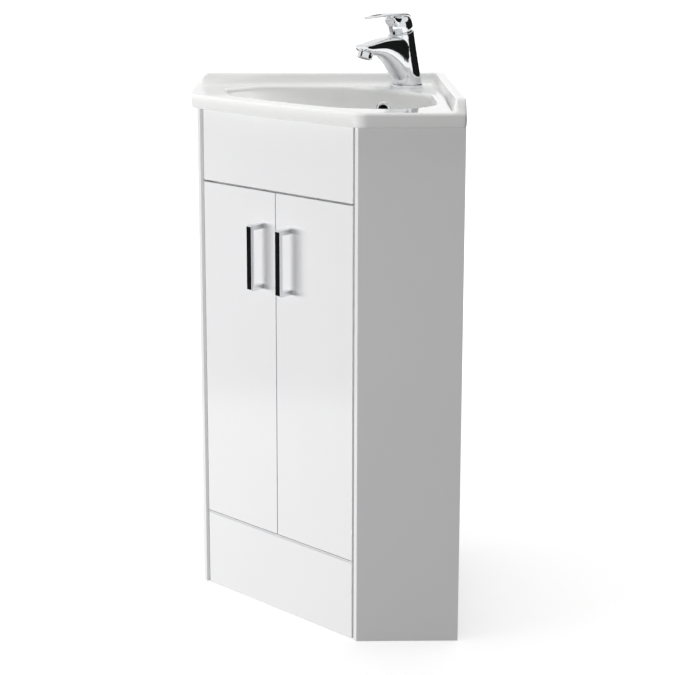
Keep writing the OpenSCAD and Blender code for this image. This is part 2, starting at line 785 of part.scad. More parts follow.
// The front side follows the rim's bow.
function bowl_point(a, r) = let(x = r * cos(a))
    [x, bowl_y + r * sin(a) + max(0, -sin(a)) * (bow_r - sqrt(bow_r * bow_r - x * x))];

// How much a side of the bowl slopes. The front slopes the most, then the two ends.
function bowl_slope(a) = let(
    end = max(0, cos(a + bowl_end_turn), -cos(a - bowl_end_turn)))
    0.05 + 0.75 * pow(max(0, -sin(a)), 1.5) + 0.55 * pow(end, 12);

// One level of the bowl: depth is 0 at the top and 1 at the floor.
function bowl_ring(depth, floor_r, grow, z) = [
    for (i = [0 : bowl_n - 1]) let(
        a = 360 * i / bowl_n,
        slope = bowl_slope(a),
        share = pow(1 - pow(depth, bowl_curve), 1 / bowl_curve) * (1 - slope * depth),
        p = bowl_point(a, floor_r + (bowl_reach(a, grow) - floor_r) * share))
    [p.x, p.y, z]];

module bowl_hollow() {
    wall_h = bowl_depth - bowl_lip;
    loft(concat(
        [for (s = bowl_steps)
            bowl_ring(s, bowl_floor_r, -bowl_lip, deck_z - bowl_lip - s * wall_h)],
        [for (a = [30, 60, 90])
            bowl_ring(0, bowl_floor_r, -bowl_lip * cos(a) , deck_z - bowl_lip * (1 - sin(a)))],
        [bowl_ring(0, bowl_floor_r, 0, deck_z + over)]));
}

module bowl_shell() {
    shell_h = bowl_depth + bowl_wall - 6;
    loft([for (s = [1, 0.95, 0.86, 0.72, 0.55, 0.36, 0.17, 0])
        bowl_ring(s, bowl_floor_r + 6, bowl_wall, deck_z - 6 - s * shell_h)]);
}

// The hidden overflow way: down behind the bowl, then forward under it to the waste hole.
module overflow_way(r, up = 0) {
    foot_z = boss_z + channel_foot;
    run = channel_y - bowl_y;
    drop = channel_foot - 10;
    translate([0, channel_y, foot_z - r]) cylinder(r = r, h = overflow_z - foot_z + r + up);
    translate([0, bowl_y, foot_z - drop]) rotate([-atan2(run, drop), 0, 0])
        cylinder(r = r - 1, h = norm([run, drop]) + 2);
}

// On the overflow's seat in the bowl's rear wall: z runs into the wall.
module at_overflow(depth = 0) {
    translate([0, overflow_y + overflow_seat, overflow_z]) rotate([-90 - overflow_tilt, 0, 0])
        translate([0, 0, depth]) children();
}

module basin() {
    color("#F2F3F2") placed() difference() {
        union() {
            difference() {
                rim();
                translate([0, 0, cab_h - over]) linear_extrude(rim_h - deck_t + over) {
                    corner_plan(pocket_y, rim_shift - flange_w * root2,
                                corner_y - flange_w * root2);
                    translate([0, tap_y]) circle(clamp_r + 2);
                }
            }
            both() upstand();
            bowl_shell();
            translate([0, bowl_y, boss_z]) cylinder(r = boss_r, h = floor_z - boss_z - 3);
            overflow_way(channel_r + channel_wall, deck_z - 6 - overflow_z);
        }
        translate([-rim_h, corner_y - rear_flat, cab_h - over])
            cube([2 * rim_h, rim_h, rim_h + upstand_h + 2 * over]);
        bowl_hollow();
        overflow_way(channel_r);
        at_overflow(-20) cylinder(d = overflow_d, h = channel_y - overflow_y + 20);
        at_overflow(-6) cylinder(d = overflow_flange_d + 1, h = 6);
        translate([0, bowl_y, boss_z - over])
            cylinder(d = waste_hole_d, h = floor_z - boss_z + 2 * over);
        translate([0, tap_y, deck_under - over]) cylinder(d = tap_hole_d, h = deck_t + 2 * over);
    }
}

// A sleeve in the overflow hole, with a flange whose outer edge is rounded.
module overflow_ring() {
    sleeve_t = 2.2;
    flange_t = 1.6;
    inner = overflow_d / 2 - sleeve_t;
    outer = overflow_flange_d / 2;
    color(chrome) placed() at_overflow() rotate_extrude() {
        translate([inner, -over]) square([sleeve_t - fit, 9 + over]);
        translate([inner, -flange_t]) square([outer - flange_t - inner, flange_t]);
        translate([outer - flange_t, 0]) intersection() {
            circle(flange_t);
            translate([0, -flange_t]) square(flange_t);
        }
    }
}

// ---------------------------------------------------------------- waste and trap

module waste_body() {
    color(chrome) placed() translate([0, bowl_y, 0]) difference() {
        union() {
            translate([0, 0, waste_end_z]) tube(waste_tube_d / 2, waste_bore_r,
                                                waste_top_z - waste_end_z);
            translate([0, 0, waste_top_z - waste_flange_t])
                tube(waste_flange_d / 2, waste_bore_r, waste_flange_t);
            translate([0, 0, guide_z]) {
                cylinder(r = plug_stem_r + 3, h = 6);
                for (turn = [0, 120, 240]) rotate([0, 0, turn])
                    translate([0, -1.5, 0]) cube([waste_bore_r + 1, 3, 6]);
            }
        }
        translate([0, 0, guide_z - over]) cylinder(r = plug_stem_r + fit / 2, h = 6 + 2 * over);
        for (turn = [90, 270]) rotate([0, 0, turn]) translate([0, 0, boss_z + 10])
            rotate([0, 90, 0]) cylinder(r = 5, h = waste_tube_d);
    }
}

module waste_seals() {
    color("#33363A") placed() translate([0, bowl_y, 0]) {
        translate([0, 0, floor_z]) tube(waste_flange_d / 2 - 1, waste_tube_d / 2 + fit, seal_t);
        translate([0, 0, boss_z - lower_seal_t])
            tube(waste_nut_r - 1, waste_tube_d / 2 + fit, lower_seal_t);
        translate([0, 0, waste_end_z - 2]) tube(waste_tube_d / 2 - fit, neck_r - neck_wall, 2);
    }
}

// A hand nut with grips round it.
module grip_nut(r_out, r_in, h, grips) {
    difference() {
        tube(r_out, r_in, h);
        for (i = [0 : grips - 1]) rotate([0, 0, i * 360 / grips])
            translate([r_out + 1.2, 0, -over]) cylinder(r = 2.4, h = h + 2 * over);
    }
}

module waste_nut() {
    color("#ECECEA") placed() translate([0, bowl_y, boss_z - lower_seal_t - waste_nut_h])
        grip_nut(waste_nut_r, waste_tube_d / 2 + fit, waste_nut_h, 10);
}

module waste_plug() {
    color(chrome) placed() translate([0, bowl_y, 0]) {
        translate([0, 0, waste_top_z + plug_gap]) rotate_extrude() difference() {
            union() {
                square([plug_r - plug_t / 2, plug_t]);
                translate([plug_r - plug_t / 2, plug_t / 2]) circle(plug_t / 2);
            }
            translate([-plug_r - over, -over]) square([plug_r + over, plug_t + 2 * over]);
        }
        translate([0, 0, guide_z - 4])
            cylinder(r = plug_stem_r, h = waste_top_z + plug_gap + over - guide_z + 4);
    }
}

module trap_inlet_nut() {
    nut_r = waste_tube_d / 2 + trap_nut_wall;
    low = waste_end_z - 2 - collar_t - nut_lip;
    color("#ECECEA") placed() translate([0, bowl_y, low]) difference() {
        grip_nut(nut_r, neck_r + fit, inlet_nut_h, 12);
        translate([0, 0, nut_lip]) cylinder(r = waste_tube_d / 2 + fit, h = inlet_nut_h);
    }
}

module at_outlet() {
    translate([0, 0, outlet_z]) rotate([0, 90, outlet_turn]) children();
}

module trap_body() {
    collar_z = waste_end_z - 2 - collar_t;
    neck_low = bottle_z + neck_clear;
    color("#ECECEA") placed() translate([0, bowl_y, 0]) difference() {
        union() {
            difference() {
                union() {
                    translate([0, 0, trap_skirt_z]) cylinder(r = trap_r,
                                                             h = trap_top_z - trap_skirt_z);
                    translate([0, 0, trap_skirt_z - 12]) cylinder(r = trap_r - 2, h = 13);
                    at_outlet() cylinder(d = outlet_d + 2 * outlet_wall, h = outlet_end);
                }
                translate([0, 0, trap_skirt_z - 12 - over])
                    cylinder(r = trap_r - 2 - trap_wall,
                             h = trap_top_z - trap_skirt_z - trap_wall + 12 + over);
                at_outlet() cylinder(d = outlet_d - 4, h = outlet_end + over);
                at_outlet() translate([0, 0, outlet_end - outlet_socket])
                    cylinder(d = outlet_d, h = outlet_socket + over);
            }
            translate([0, 0, neck_low]) cylinder(r = neck_r, h = collar_z + collar_t - neck_low);
            translate([0, 0, collar_z]) cylinder(r = waste_tube_d / 2 - fit, h = collar_t);
        }
        translate([0, 0, neck_low - over])
            cylinder(r = neck_r - neck_wall, h = waste_end_z - neck_low + over);
    }
}

module trap_bottle() {
    inner_r = trap_r - 2 + fit;
    color("#ECECEA") placed() translate([0, bowl_y, bottle_z]) difference() {
        union() {
            cylinder(r = trap_r, h = bottle_h - 4);
            grip_nut(trap_r + 2, inner_r, bottle_grip_h, bottle_grips);
        }
        translate([0, 0, 3]) cylinder(r = inner_r - 2.6, h = bottle_h);
        translate([0, 0, bottle_h - 18]) cylinder(r = inner_r, h = 20);
    }
}

module trap_outlet_nut() {
    tube_r = outlet_d / 2 + outlet_wall;
    color("#ECECEA") placed() translate([0, bowl_y, 0]) at_outlet()
        translate([0, 0, outlet_end - 16]) difference() {
            grip_nut(tube_r + 5, outlet_d / 2 + 0.3, 20, 12);
            translate([0, 0, -over]) cylinder(r = tube_r + fit, h = 16 + over + fit);
        }
}

// ---------------------------------------------------------------- tap

module at_top(h = 0) {
    translate(top_at) rotate([tap_tilt, 0, 0]) translate([0, 0, h]) children();
}

module at_outlet_face(h = 0) {
    translate(outlet_at) rotate([-outlet_tilt, 0, 0]) translate([0, 0, h]) children();
}

// Rows of numbers with more rows between them, on a smooth curve through all of them.
function between(rows, steps) = let(last = len(rows) - 1) concat(
    [for (i = [0 : last - 1], k = [0 : steps - 1]) let(
        t = k / steps,
        a = rows[max(0, i - 1)], b = rows[i], c = rows[i + 1], d = rows[min(last, i + 2)])
        b + t / 2 * (c - a + t * (2 * a - 5 * b + 4 * c - d + t * (3 * b - a - 3 * c + d)))],
    [rows[last]]);

// A ring of the column: it leans and tilts forward as it rises.
function column_ring(t) = let(
    tilt = tap_tilt * soft(t),
    r = column_top_r + (column_r - column_top_r) * pow(1 - t, 1.6),
    centre = blend([0, tap_y + column_lean, column_z], top_at, t))
    [for (a = [0 : 6 : 354])
        centre + r * [cos(a), sin(a) * cos(tilt), sin(a) * sin(tilt)]];

// A ring across the spout: flat above with crisp edges, rounder below.
function spout_ring(row) = let(
    top = top_at.z + row[1],
    low = deck_z + row[2],
    mid = blend(low, top, 0.55))
    [for (a = [350 : -10 : 0]) let(
        c = cos(a), s = sin(a),
        e = s > 0 ? 0.4 : 0.77,
        h = s > 0 ? top - mid : mid - low)
        [row[3] * sign(c) * pow(abs(c), e), outlet_at.y + row[0],
         mid + h * sign(s) * pow(abs(s), e)]];

module spout() { loft([for (row = between(spout_rows, 3)) spout_ring(row)]); }

module tap_body() {
    color(chrome) placed() difference() {
        union() {
            loft([for (i = [0 : 10]) column_ring(i / 10)]);
            spout();
            at_outlet_face(aerator_h) cylinder(d = aerator_d, h = aerator_seat);
            translate([0, tap_y, spigot_z]) cylinder(r = spigot_r, h = column_z - spigot_z + over);
        }
        at_top(-cartridge_depth) cylinder(d = cartridge_d + 2 * fit, h = cartridge_depth + 10);
        at_outlet_face(-aerator_h) cylinder(d = aerator_d + 2 * fit, h = 2 * aerator_h);
        at_outlet_face(aerator_h - over) cylinder(d = aerator_d - 3, h = aerator_stub + 2 * over);
        for (side = [-1, 1]) translate([side * inlet_x, tap_y + 5, spigot_z - over])
            cylinder(r = inlet_r, h = inlet_depth + over);
        translate([0, stud_y, spigot_z - over]) cylinder(r = stud_r + fit / 2, h = 10 + over);
    }
}

module tap_base_ring() {
    color(chrome) placed() translate([0, tap_y, deck_z]) rotate_extrude() {
        inner = spigot_r + fit;
        translate([inner, 0]) square([ring_r - 1.5 - inner, ring_h]);
        translate([inner, 0]) square([ring_r - inner, ring_h - 1.5]);
        translate([ring_r - 1.5, ring_h - 1.5]) circle(1.5);
    }
}

module aerator_housing() {
    color(chrome) placed() at_outlet_face() difference() {
        union() {
            cylinder(d = aerator_d, h = aerator_h);
            translate([0, 0, aerator_h]) cylinder(d = aerator_d - 3 - 2 * fit, h = aerator_stub);
        }
        translate([0, 0, -over])
            cylinder(d = aerator_d - 6, h = aerator_h + aerator_stub + 2 * over);
        for (turn = [0, 180]) rotate([0, 0, turn]) translate([aerator_d / 2 - 1, -4, 1.5])
            cube([3, 8, 5]);
    }
}

module aerator_screen() {
    color("#D5D7D8") placed() at_outlet_face(1) difference() {
        cylinder(d = aerator_d - 6 - 2 * fit, h = 4);
        for (ring = [1 : 2], i = [0 : 6 * ring - 1]) rotate([0, 0, i * 60 / ring])
            translate([ring * 2.8, 0, -over]) cylinder(r = 0.8, h = 4 + 2 * over, $fn = 16);
    }
}

module cartridge() {
    color("#E2E0D8") placed() at_top(-cartridge_depth) difference() {
        cylinder(d = cartridge_d, h = cartridge_depth);
        translate([0, 0, cartridge_depth - 6]) cylinder(r = spindle_disc_r + fit, h = 6 + over);
    }
}

// The fixed dome round the pivot, which holds the cartridge down.
module cartridge_dome() {
    color(chrome) placed() at_top() rotate_extrude($fn = 64) intersection() {
        difference() {
            union() {
                translate([0, pivot_h]) circle(dome_r);
                square([column_top_r - 2.4, 1.2]);
            }
            translate([0, pivot_h]) circle(dome_r - dome_t);
        }
        translate([dome_hole_r, 0]) square([column_top_r, 2 * dome_r + pivot_h]);
    }
}

// The spindle turns in the cartridge and carries the lever's pin.
module cartridge_spindle() {
    color(steel) placed() at_top() difference() {
        union() {
            translate([0, 0, -5.5]) cylinder(r = spindle_disc_r, h = 5);
            translate([0, 0, -1]) cylinder(r = spindle_r, h = pivot_h + 5);
        }
        translate([-spindle_r - over, 0, pivot_h]) rotate([0, 90, 0])
            cylinder(r = 1.5 + fit / 2, h = 2 * (spindle_r + over));
    }
}

module lever_pin() {
    color(steel) placed() at_top(pivot_h) translate([-8.5, 0, 0]) rotate([0, 90, 0])
        cylinder(r = 1.5, h = 17);
}

// A ring across the lever's blade or web, from one row of numbers about the pivot.
function lever_ring(row, long = 1) = [for (a = [0 : 15 : 345]) let(c = cos(a), s = sin(a))
    lever_pivot + [row[2] * sign(c) * pow(abs(c), 0.7), row[0] * (row[0] < 0 ? long : 1), row[1]]
        + [0, sin(row[3]), cos(row[3])] * (row[4] / 2) * sign(s) * pow(abs(s), 0.7)];

// The lever: a cap round the dome and a flat blade with a long opening, which points forward.
module tap_lever() {
    cap_r = dome_r + lever_gap;
    lean = atan2(lever_back_gap - lever_front_gap, 2 * column_top_r);
    long = lever_reach / -blade_rows[len(blade_rows) - 1][0];
    color(chrome) placed() difference() {
        union() {
            difference() {
                union() {
                    at_top() rotate_extrude($fn = 64) intersection() {
                        union() {
                            translate([0, pivot_h + 2]) circle(column_top_r);
                            square([column_top_r, pivot_h + 2]);
                        }
                        square(lever_cut);
                    }
                    loft([for (row = between(blade_rows, 2)) lever_ring(row, long)]);
                    loft([for (row = between(web_rows, 2)) lever_ring(row)]);
                }
                at_top(pivot_h) sphere(cap_r, $fn = 64);
                at_top() rotate([lean, 0, 0])
                    translate([-lever_cut / 2, -lever_cut / 2,
                               (lever_back_gap + lever_front_gap) / 2 - lever_cut])
                        cube(lever_cut);
            }
            for (side = [-1, 1]) at_top() intersection() {
                translate([side > 0 ? spindle_r + 0.4 : -spindle_r - 0.4 - 2.6, -3, pivot_h - 4])
                    cube([2.6, 6, cap_r + 5]);
                translate([0, 0, pivot_h]) sphere(cap_r + 1, $fn = 64);
            }
        }
        at_top(pivot_h) translate([-8.6, 0, 0]) rotate([0, 90, 0])
            cylinder(r = 1.5 + fit / 2, h = 17.2);
        translate([0, lever_pivot.y - lever_reach, lever_pivot.z]) linear_extrude(lever_cut) {
            translate([-slot_r, slot_ends[0]]) square([2 * slot_r, slot_ends[1] - slot_ends[0]]);
            for (end = slot_ends) translate([0, end]) circle(slot_r);
        }
        at_top() marker_hole(fit);
    }
}

module marker_hole(grow = 0) {
    translate([0, -column_top_r - 4, pivot_h + 2]) rotate([-90, 0, 0])
        cylinder(r = 3.2 + grow, h = 6.5);
}

module lever_marker() {
    color("#B9BEC4") placed() at_top() difference() {
        translate([0, -column_top_r - 0.6, pivot_h + 2]) rotate([-90, 0, 0])
            cylinder(r = 3.2, h = 1.2);
    }
}

module lever_screw() {
    color(steel) placed() at_top() translate([0, -column_top_r + 1, pivot_h + 2])
        rotate([-90, 0, 0]) cylinder(r = 2, h = 1.4);
}

module tap_stud() {
    color(steel) placed() translate([0, stud_y, spigot_z + 10 - stud_len])
        cylinder(r = stud_r, h = stud_len);
}

// A horseshoe in plan, open to the back for the two supply tails.
module horseshoe(h) {
    difference() {
        translate([0, tap_y, 0]) cylinder(r = clamp_r, h = h);
        translate([-clamp_slot_w / 2, clamp_slot_y, -over])
            cube([clamp_slot_w, clamp_r + 10, h + 2 * over]);
        translate([0, stud_y, -over]) cylinder(r = stud_r + fit, h = h + 2 * over);
    }
}

module tap_washer() {
    color("#33363A") placed() translate([0, 0, deck_under - tap_seal_t]) horseshoe(tap_seal_t);
}

module tap_clamp_plate() {
    color(steel) placed() translate([0, 0, deck_under - tap_seal_t - clamp_t]) horseshoe(clamp_t);
}

module tap_fixing_nut() {
    color("#C9A24B") placed() translate([0, stud_y, deck_under - tap_seal_t - clamp_t - 8])
        difference() {
            cylinder(r = 7.5, h = 8, $fn = 6);
            translate([0, 0, -over]) cylinder(r = stud_r + fit / 2, h = 8 + 2 * over);
        }
}

// ---------------------------------------------------------------- the nodes

left_side_panel();
right_side_panel();
base_shelf();
plinth_panel();
fascia_panel();
fascia_rail();
upper_rail_left();
upper_rail_right();
lower_rail_left();
lower_rail_right();
corner_post();
joint_blocks();
cam_locks();
inner_shelf();
shelf_pins();
left_hinge_plates();
right_hinge_plates();
left_hinge_arms();
right_hinge_arms();
hinge_screws();
basin();
overflow_ring();
waste_body();
waste_seals();
waste_nut();
waste_plug();
trap_inlet_nut();
trap_body();
trap_bottle();
trap_outlet_nut();
tap_body();
tap_base_ring();
aerator_housing();
aerator_screen();
cartridge();
cartridge_dome();
cartridge_spindle();
lever_pin();
tap_lever();
lever_screw();
lever_marker();
tap_stud();
tap_washer();
tap_clamp_plate();
tap_fixing_nut();
left_door();
right_door();
left_handle();
right_handle();
left_handle_screws();
right_handle_screws();
left_hinge_cups();
right_hinge_cups();
left_cup_screws();
right_cup_screws();
left_hinge_links();
right_hinge_links();
left_door_buffers();
right_door_buffers();
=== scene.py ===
"""Finishes for the corner vanity unit: gloss boards, a glazed basin, a cast chrome tap and the studio."""
import json
import math

import bmesh
import bpy
import numpy as np
from mathutils import Matrix, Vector


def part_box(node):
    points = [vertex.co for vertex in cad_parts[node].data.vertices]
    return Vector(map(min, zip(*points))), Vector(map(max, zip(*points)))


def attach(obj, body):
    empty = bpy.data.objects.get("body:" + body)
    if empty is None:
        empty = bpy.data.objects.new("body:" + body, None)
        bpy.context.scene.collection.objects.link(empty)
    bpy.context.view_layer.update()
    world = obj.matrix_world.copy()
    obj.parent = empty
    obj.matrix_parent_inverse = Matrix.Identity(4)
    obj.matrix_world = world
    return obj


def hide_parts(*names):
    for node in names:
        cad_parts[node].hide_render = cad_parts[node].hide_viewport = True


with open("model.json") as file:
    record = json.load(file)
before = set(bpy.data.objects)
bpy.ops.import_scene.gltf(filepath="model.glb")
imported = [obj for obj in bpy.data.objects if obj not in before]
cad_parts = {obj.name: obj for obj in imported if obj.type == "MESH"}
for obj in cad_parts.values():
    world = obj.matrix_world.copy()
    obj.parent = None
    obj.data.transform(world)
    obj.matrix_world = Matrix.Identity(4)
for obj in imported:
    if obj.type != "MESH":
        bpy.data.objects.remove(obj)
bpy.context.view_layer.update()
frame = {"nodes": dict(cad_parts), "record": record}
nodes = frame["nodes"]
MM = 0.001
ROOT2 = math.sqrt(2)
WELD = 0.005 * MM        # points closer than this are one


# ---------------------------------------------------------------- small tools

def linear(hex_colour):
    """An sRGB hex colour as linear red, green, blue and alpha."""
    parts = [int(hex_colour[i:i + 2], 16) / 255 for i in (1, 3, 5)]
    return [c / 12.92 if c <= 0.04045 else ((c + 0.055) / 1.055) ** 2.4 for c in parts] + [1.0]


def add(tree, kind, inputs=None, **settings):
    """Adds a node, sets its own settings, and fills or links its inputs."""
    node = tree.nodes.new(kind)
    for name, value in settings.items():
        setattr(node, name, value)
    for key, value in (inputs or {}).items():
        if isinstance(value, bpy.types.NodeSocket):
            tree.links.new(value, node.inputs[key])
        else:
            node.inputs[key].default_value = value
    return node


def put(name, data):
    """A new object in the scene, at the origin."""
    made = bpy.data.objects.new(name, data)
    bpy.context.scene.collection.objects.link(made)
    return made


def put_mesh(name, points, faces, smooth=False):
    """A new object in the scene from points in metres and faces."""
    mesh = bpy.data.meshes.new(name)
    mesh.from_pydata(points, [], faces)
    if smooth:
        mesh.polygons.foreach_set("use_smooth", [True] * len(faces))
    mesh.update()
    return put(name, mesh)


def new_material(name, colour, **inputs):
    """A material with one Principled shader: its tree, the shader and the Object coordinates."""
    made = bpy.data.materials.new(name)
    made.use_nodes = True
    tree = made.node_tree
    tree.nodes.clear()
    shader = add(tree, "ShaderNodeBsdfPrincipled", {"Base Color": linear(colour), **inputs})
    add(tree, "ShaderNodeOutputMaterial", {"Surface": shader.outputs["BSDF"]})
    place = add(tree, "ShaderNodeTexCoord").outputs["Object"]
    return made, tree, shader, place


def vary_colour(tree, shader, place, size_mm, low, high, detail=3.0):
    """Soft patches between two colours, of a size in millimetres."""
    noise = add(tree, "ShaderNodeTexNoise", {"Vector": place, "Scale": 1 / (size_mm * MM), "Detail": detail})
    patches = {"Factor": noise.outputs["Fac"], "A": linear(low), "B": linear(high)}
    blend = add(tree, "ShaderNodeMix", patches, data_type="RGBA")
    tree.links.new(blend.outputs["Result"], shader.inputs["Base Color"])


def vary_gloss(tree, shader, place, size_mm, low, high):
    """Roughness that drifts between two values."""
    noise = add(tree, "ShaderNodeTexNoise", {"Vector": place, "Scale": 1 / (size_mm * MM), "Detail": 4.0})
    spread = add(tree, "ShaderNodeMapRange", {"Value": noise.outputs["Fac"], "To Min": low, "To Max": high})
    tree.links.new(spread.outputs["Result"], shader.inputs["Roughness"])


def vary_height(tree, shader, place, size_mm, depth_mm, detail=1.0):
    """Raises the surface in soft patches, of a size and to a depth in millimetres."""
    noise = add(tree, "ShaderNodeTexNoise", {"Vector": place, "Scale": 1 / (size_mm * MM), "Detail": detail})
    height = {"Height": noise.outputs["Fac"], "Distance": depth_mm * MM, "Strength": 1.0}
    tree.links.new(add(tree, "ShaderNodeBump", height).outputs["Normal"], shader.inputs["Normal"])


# ---------------------------------------------------------------- materials

def gloss_foil_board():
    """MDF under high-gloss acrylic foil: a near-mirror skin with a faint orange peel from the press."""
    made, tree, shader, place = new_material(
        "gloss_acrylic_foil_on_mdf", "#EFEFF0", Roughness=0.14, IOR=1.49)
    vary_colour(tree, shader, place, 140, "#EEEEF0", "#F1F1F1")
    vary_gloss(tree, shader, place, 60, 0.11, 0.17)
    vary_height(tree, shader, place, 3.5, 0.004)
    return made


def melamine_board():
    """Chipboard faced with melamine paper: flat white with a fine pressed pearl grain."""
    made, tree, shader, place = new_material("pressed_white_melamine", "#E9E9E6", Roughness=0.42)
    vary_colour(tree, shader, place, 90, "#E6E6E3", "#ECECEA")
    # The real pearl is about 0.5 mm wide: it is drawn coarser here, so that it shows.
    vary_height(tree, shader, place, 1.2, 0.03, detail=2.0)
    return made


def vitreous_china():
    """Fired clay under a thick white glaze: deep wet gloss, and a glaze that pooled in soft waves."""
    made, tree, shader, place = new_material(
        "glazed_vitreous_china", "#F1F2F1", Roughness=0.07, IOR=1.52,
        **{"Coat Weight": 0.2, "Coat Roughness": 0.02, "Coat IOR": 1.5})
    vary_colour(tree, shader, place, 120, "#F0F1F0", "#F3F3F2")
    vary_height(tree, shader, place, 22, 0.12)
    return made


def polished_chrome():
    """Nickel and chrome plate over a polished casting: a mirror with the faintest polishing haze."""
    made, tree, shader, place = new_material(
        "polished_chrome_plate", "#D9DBDE", Metallic=1.0, Roughness=0.04)
    vary_colour(tree, shader, place, 18, "#D6D8DB", "#DEDFE1")
    vary_gloss(tree, shader, place, 6, 0.02, 0.06)
    return made


def zinc_steel():
    """Pressed steel with bright zinc: soft grey with rolling marks along the sheet."""
    made, tree, shader, place = new_material("zinc_plated_steel", "#B9BBBD", Metallic=1.0, Roughness=0.3)
    vary_colour(tree, shader, place, 9, "#AFB1B4", "#C4C6C7")
    vary_gloss(tree, shader, place, 3, 0.22, 0.38)
    # Real rolling marks lie about 0.1 mm apart: they are drawn coarser here, so that they show.
    long_way = add(tree, "ShaderNodeMapping", {"Vector": place, "Scale": [1.0, 1.0, 0.08]})
    vary_height(tree, shader, long_way.outputs["Vector"], 0.8, 0.01, detail=2.0)
    return made


def moulded(name, colour, darker, rough):
    """A moulded plastic: even colour with a slight satin grain from the tool."""
    made, tree, shader, place = new_material(name, colour, Roughness=rough, IOR=1.5)
    vary_colour(tree, shader, place, 30, darker, colour)
    # The tool's grain is about 0.2 mm wide: it is drawn coarser here, so that it shows.
    vary_height(tree, shader, place, 0.7, 0.015)
    return made


def black_rubber():
    """Moulded seal rubber: nearly black and matt, with a dusty bloom."""
    made, tree, shader, place = new_material("moulded_seal_rubber", "#26282A", Roughness=0.75)
    vary_colour(tree, shader, place, 7, "#222426", "#303234")
    return made


def clear_bumper():
    """A dome of clear soft plastic that the door closes on."""
    made, tree, shader, place = new_material(
        "clear_soft_bumper", "#E8ECEC", Roughness=0.25, **{"Transmission Weight": 0.6})
    vary_gloss(tree, shader, place, 4, 0.2, 0.35)
    return made


def shade_painted_clay():
    """Unglazed fired clay inside the overflow way, the trim's seat and the tap hole, painted near black as
    the shade in these hollows.
    """
    made, tree, shader, place = new_material("shade_painted_raw_clay", "#161412", Roughness=0.85)
    vary_colour(tree, shader, place, 4, "#12100F", "#1D1A18")
    return made


def turned_brass():
    """A turned brass nut: warm metal in soft patches of tone; its fine tool rings are not drawn."""
    made, tree, shader, place = new_material("turned_brass", "#C8A355", Metallic=1.0, Roughness=0.28)
    vary_colour(tree, shader, place, 5, "#BE9648", "#D2AF66")
    return made


SLOT_MATERIALS = {
    "gloss_white_board": gloss_foil_board(),
    "white_melamine": melamine_board(),
    "vitreous_china": vitreous_china(),
    "chrome_plate": polished_chrome(),
    "zinc_steel": zinc_steel(),
    "fitting_plastic": moulded("moulded_fitting_nylon", "#DEDED9", "#D6D6D0", 0.5),
    "pipe_plastic": moulded("moulded_waste_polypropylene", "#EDEDEA", "#E4E4E0", 0.32),
    "cartridge_plastic": moulded("moulded_cartridge_acetal", "#DCDAD2", "#D2D0C6", 0.45),
    "rubber_seal": black_rubber(),
    "clear_bumper": clear_bumper(),
    "marker_cap": zinc_steel(),
    "brass_nut": turned_brass(),
}
# Painted shade: the near-black clay that lines the basin's hollows.
SHADE_PAINTED_CLAY = shade_painted_clay()
slot_of = {row["node"]: row["material_slot"] for row in frame["record"]["subparts"]}


def finish_with(piece, material):
    """Gives a whole piece one material."""
    piece.data.materials.clear()
    piece.data.materials.append(material)


# ---------------------------------------------------------------- pieces kept from the frame

# Edge radius in millimetres of each kept piece that shows; the rest have sharp machined edges.
EDGE_RADIUS = {
    "left_side_panel": 2.0, "right_side_panel": 2.0, "left_door": 1.0, "right_door": 1.0,
    "fascia_panel": 1.0, "plinth_panel": 1.0, "left_handle": 0.6, "right_handle": 0.6,
    "base_shelf": 0.4, "inner_shelf": 0.4, "fascia_rail": 0.4,
}


def round_edges(piece, radius_mm):
    """Merges the loose triangles of a kept piece and rounds its edges, without touching its mesh."""
    for face in piece.data.polygons:
        face.use_smooth = True
    weld = piece.modifiers.new("weld", "WELD")
    weld.merge_threshold = WELD
    bevel = piece.modifiers.new("edges", "BEVEL")
    bevel.width = radius_mm * MM
    bevel.segments = 3
    bevel.limit_method = "ANGLE"
    bevel.angle_limit = math.radians(40)
    bevel.miter_outer = "MITER_ARC"
    flat = piece.modifiers.new("flat_faces", "WEIGHTED_NORMAL")
    flat.weight = 100


for name, piece in nodes.items():
    finish_with(piece, SLOT_MATERIALS[slot_of[name]])
    if name in EDGE_RADIUS:
        round_edges(piece, EDGE_RADIUS[name])


# ---------------------------------------------------------------- cast pieces

def merged_copy(node_name, piece_name):
    """A copy of a kept piece as one closed mesh."""
    piece = put(piece_name, nodes[node_name].data.copy())
    weld = piece.modifiers.new("weld", "WELD")
    weld.merge_threshold = WELD
    return piece


def settle(piece):
    """Applies a piece's modifiers."""
    graph = bpy.context.evaluated_depsgraph_get()
    mesh = bpy.data.meshes.new_from_object(piece.evaluated_get(graph), depsgraph=graph)
    piece.modifiers.clear()
    old, piece.data = piece.data, mesh
    bpy.data.meshes.remove(old)
    mesh.name = piece.name
    return piece


def soften_casting(piece, grain_mm, rounds):
    """Remeshes a casting finely and relaxes it, so that its edges and joins turn into small radii."""
    skin = piece.modifiers.new("skin", "REMESH")
    skin.mode = "VOXEL"
    skin.voxel_size = grain_mm * MM
    skin.use_smooth_shade = True
    relax = piece.modifiers.new("relax", "SMOOTH")
    relax.factor = 0.5
    relax.iterations = rounds
    return settle(piece)


def stands_for(piece, body, name):
    """A finished piece rides on a body and takes the place and the slot of a kept piece."""
    finish_with(piece, SLOT_MATERIALS[slot_of[name]])
    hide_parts(name)
    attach(piece, body)


tap_casting = soften_casting(merged_copy("tap_body", "tap_casting"), grain_mm=0.7, rounds=8)
stands_for(tap_casting, "cabinet", "tap_body")
lever_casting = soften_casting(merged_copy("tap_lever", "lever_casting"), grain_mm=0.6, rounds=5)
stands_for(lever_casting, "tap_lever", "tap_lever")


# ---------------------------------------------------------------- aerator gauze

OUTLET_TILT = math.radians(20)
GAUZE_DROP = 2.55        # below the screen's middle, along the outlet
GAUZE_PITCH = 0.9
GAUZE_WIRE_R = 0.14
GAUZE_CLEARANCE = 0.2    # inside the housing


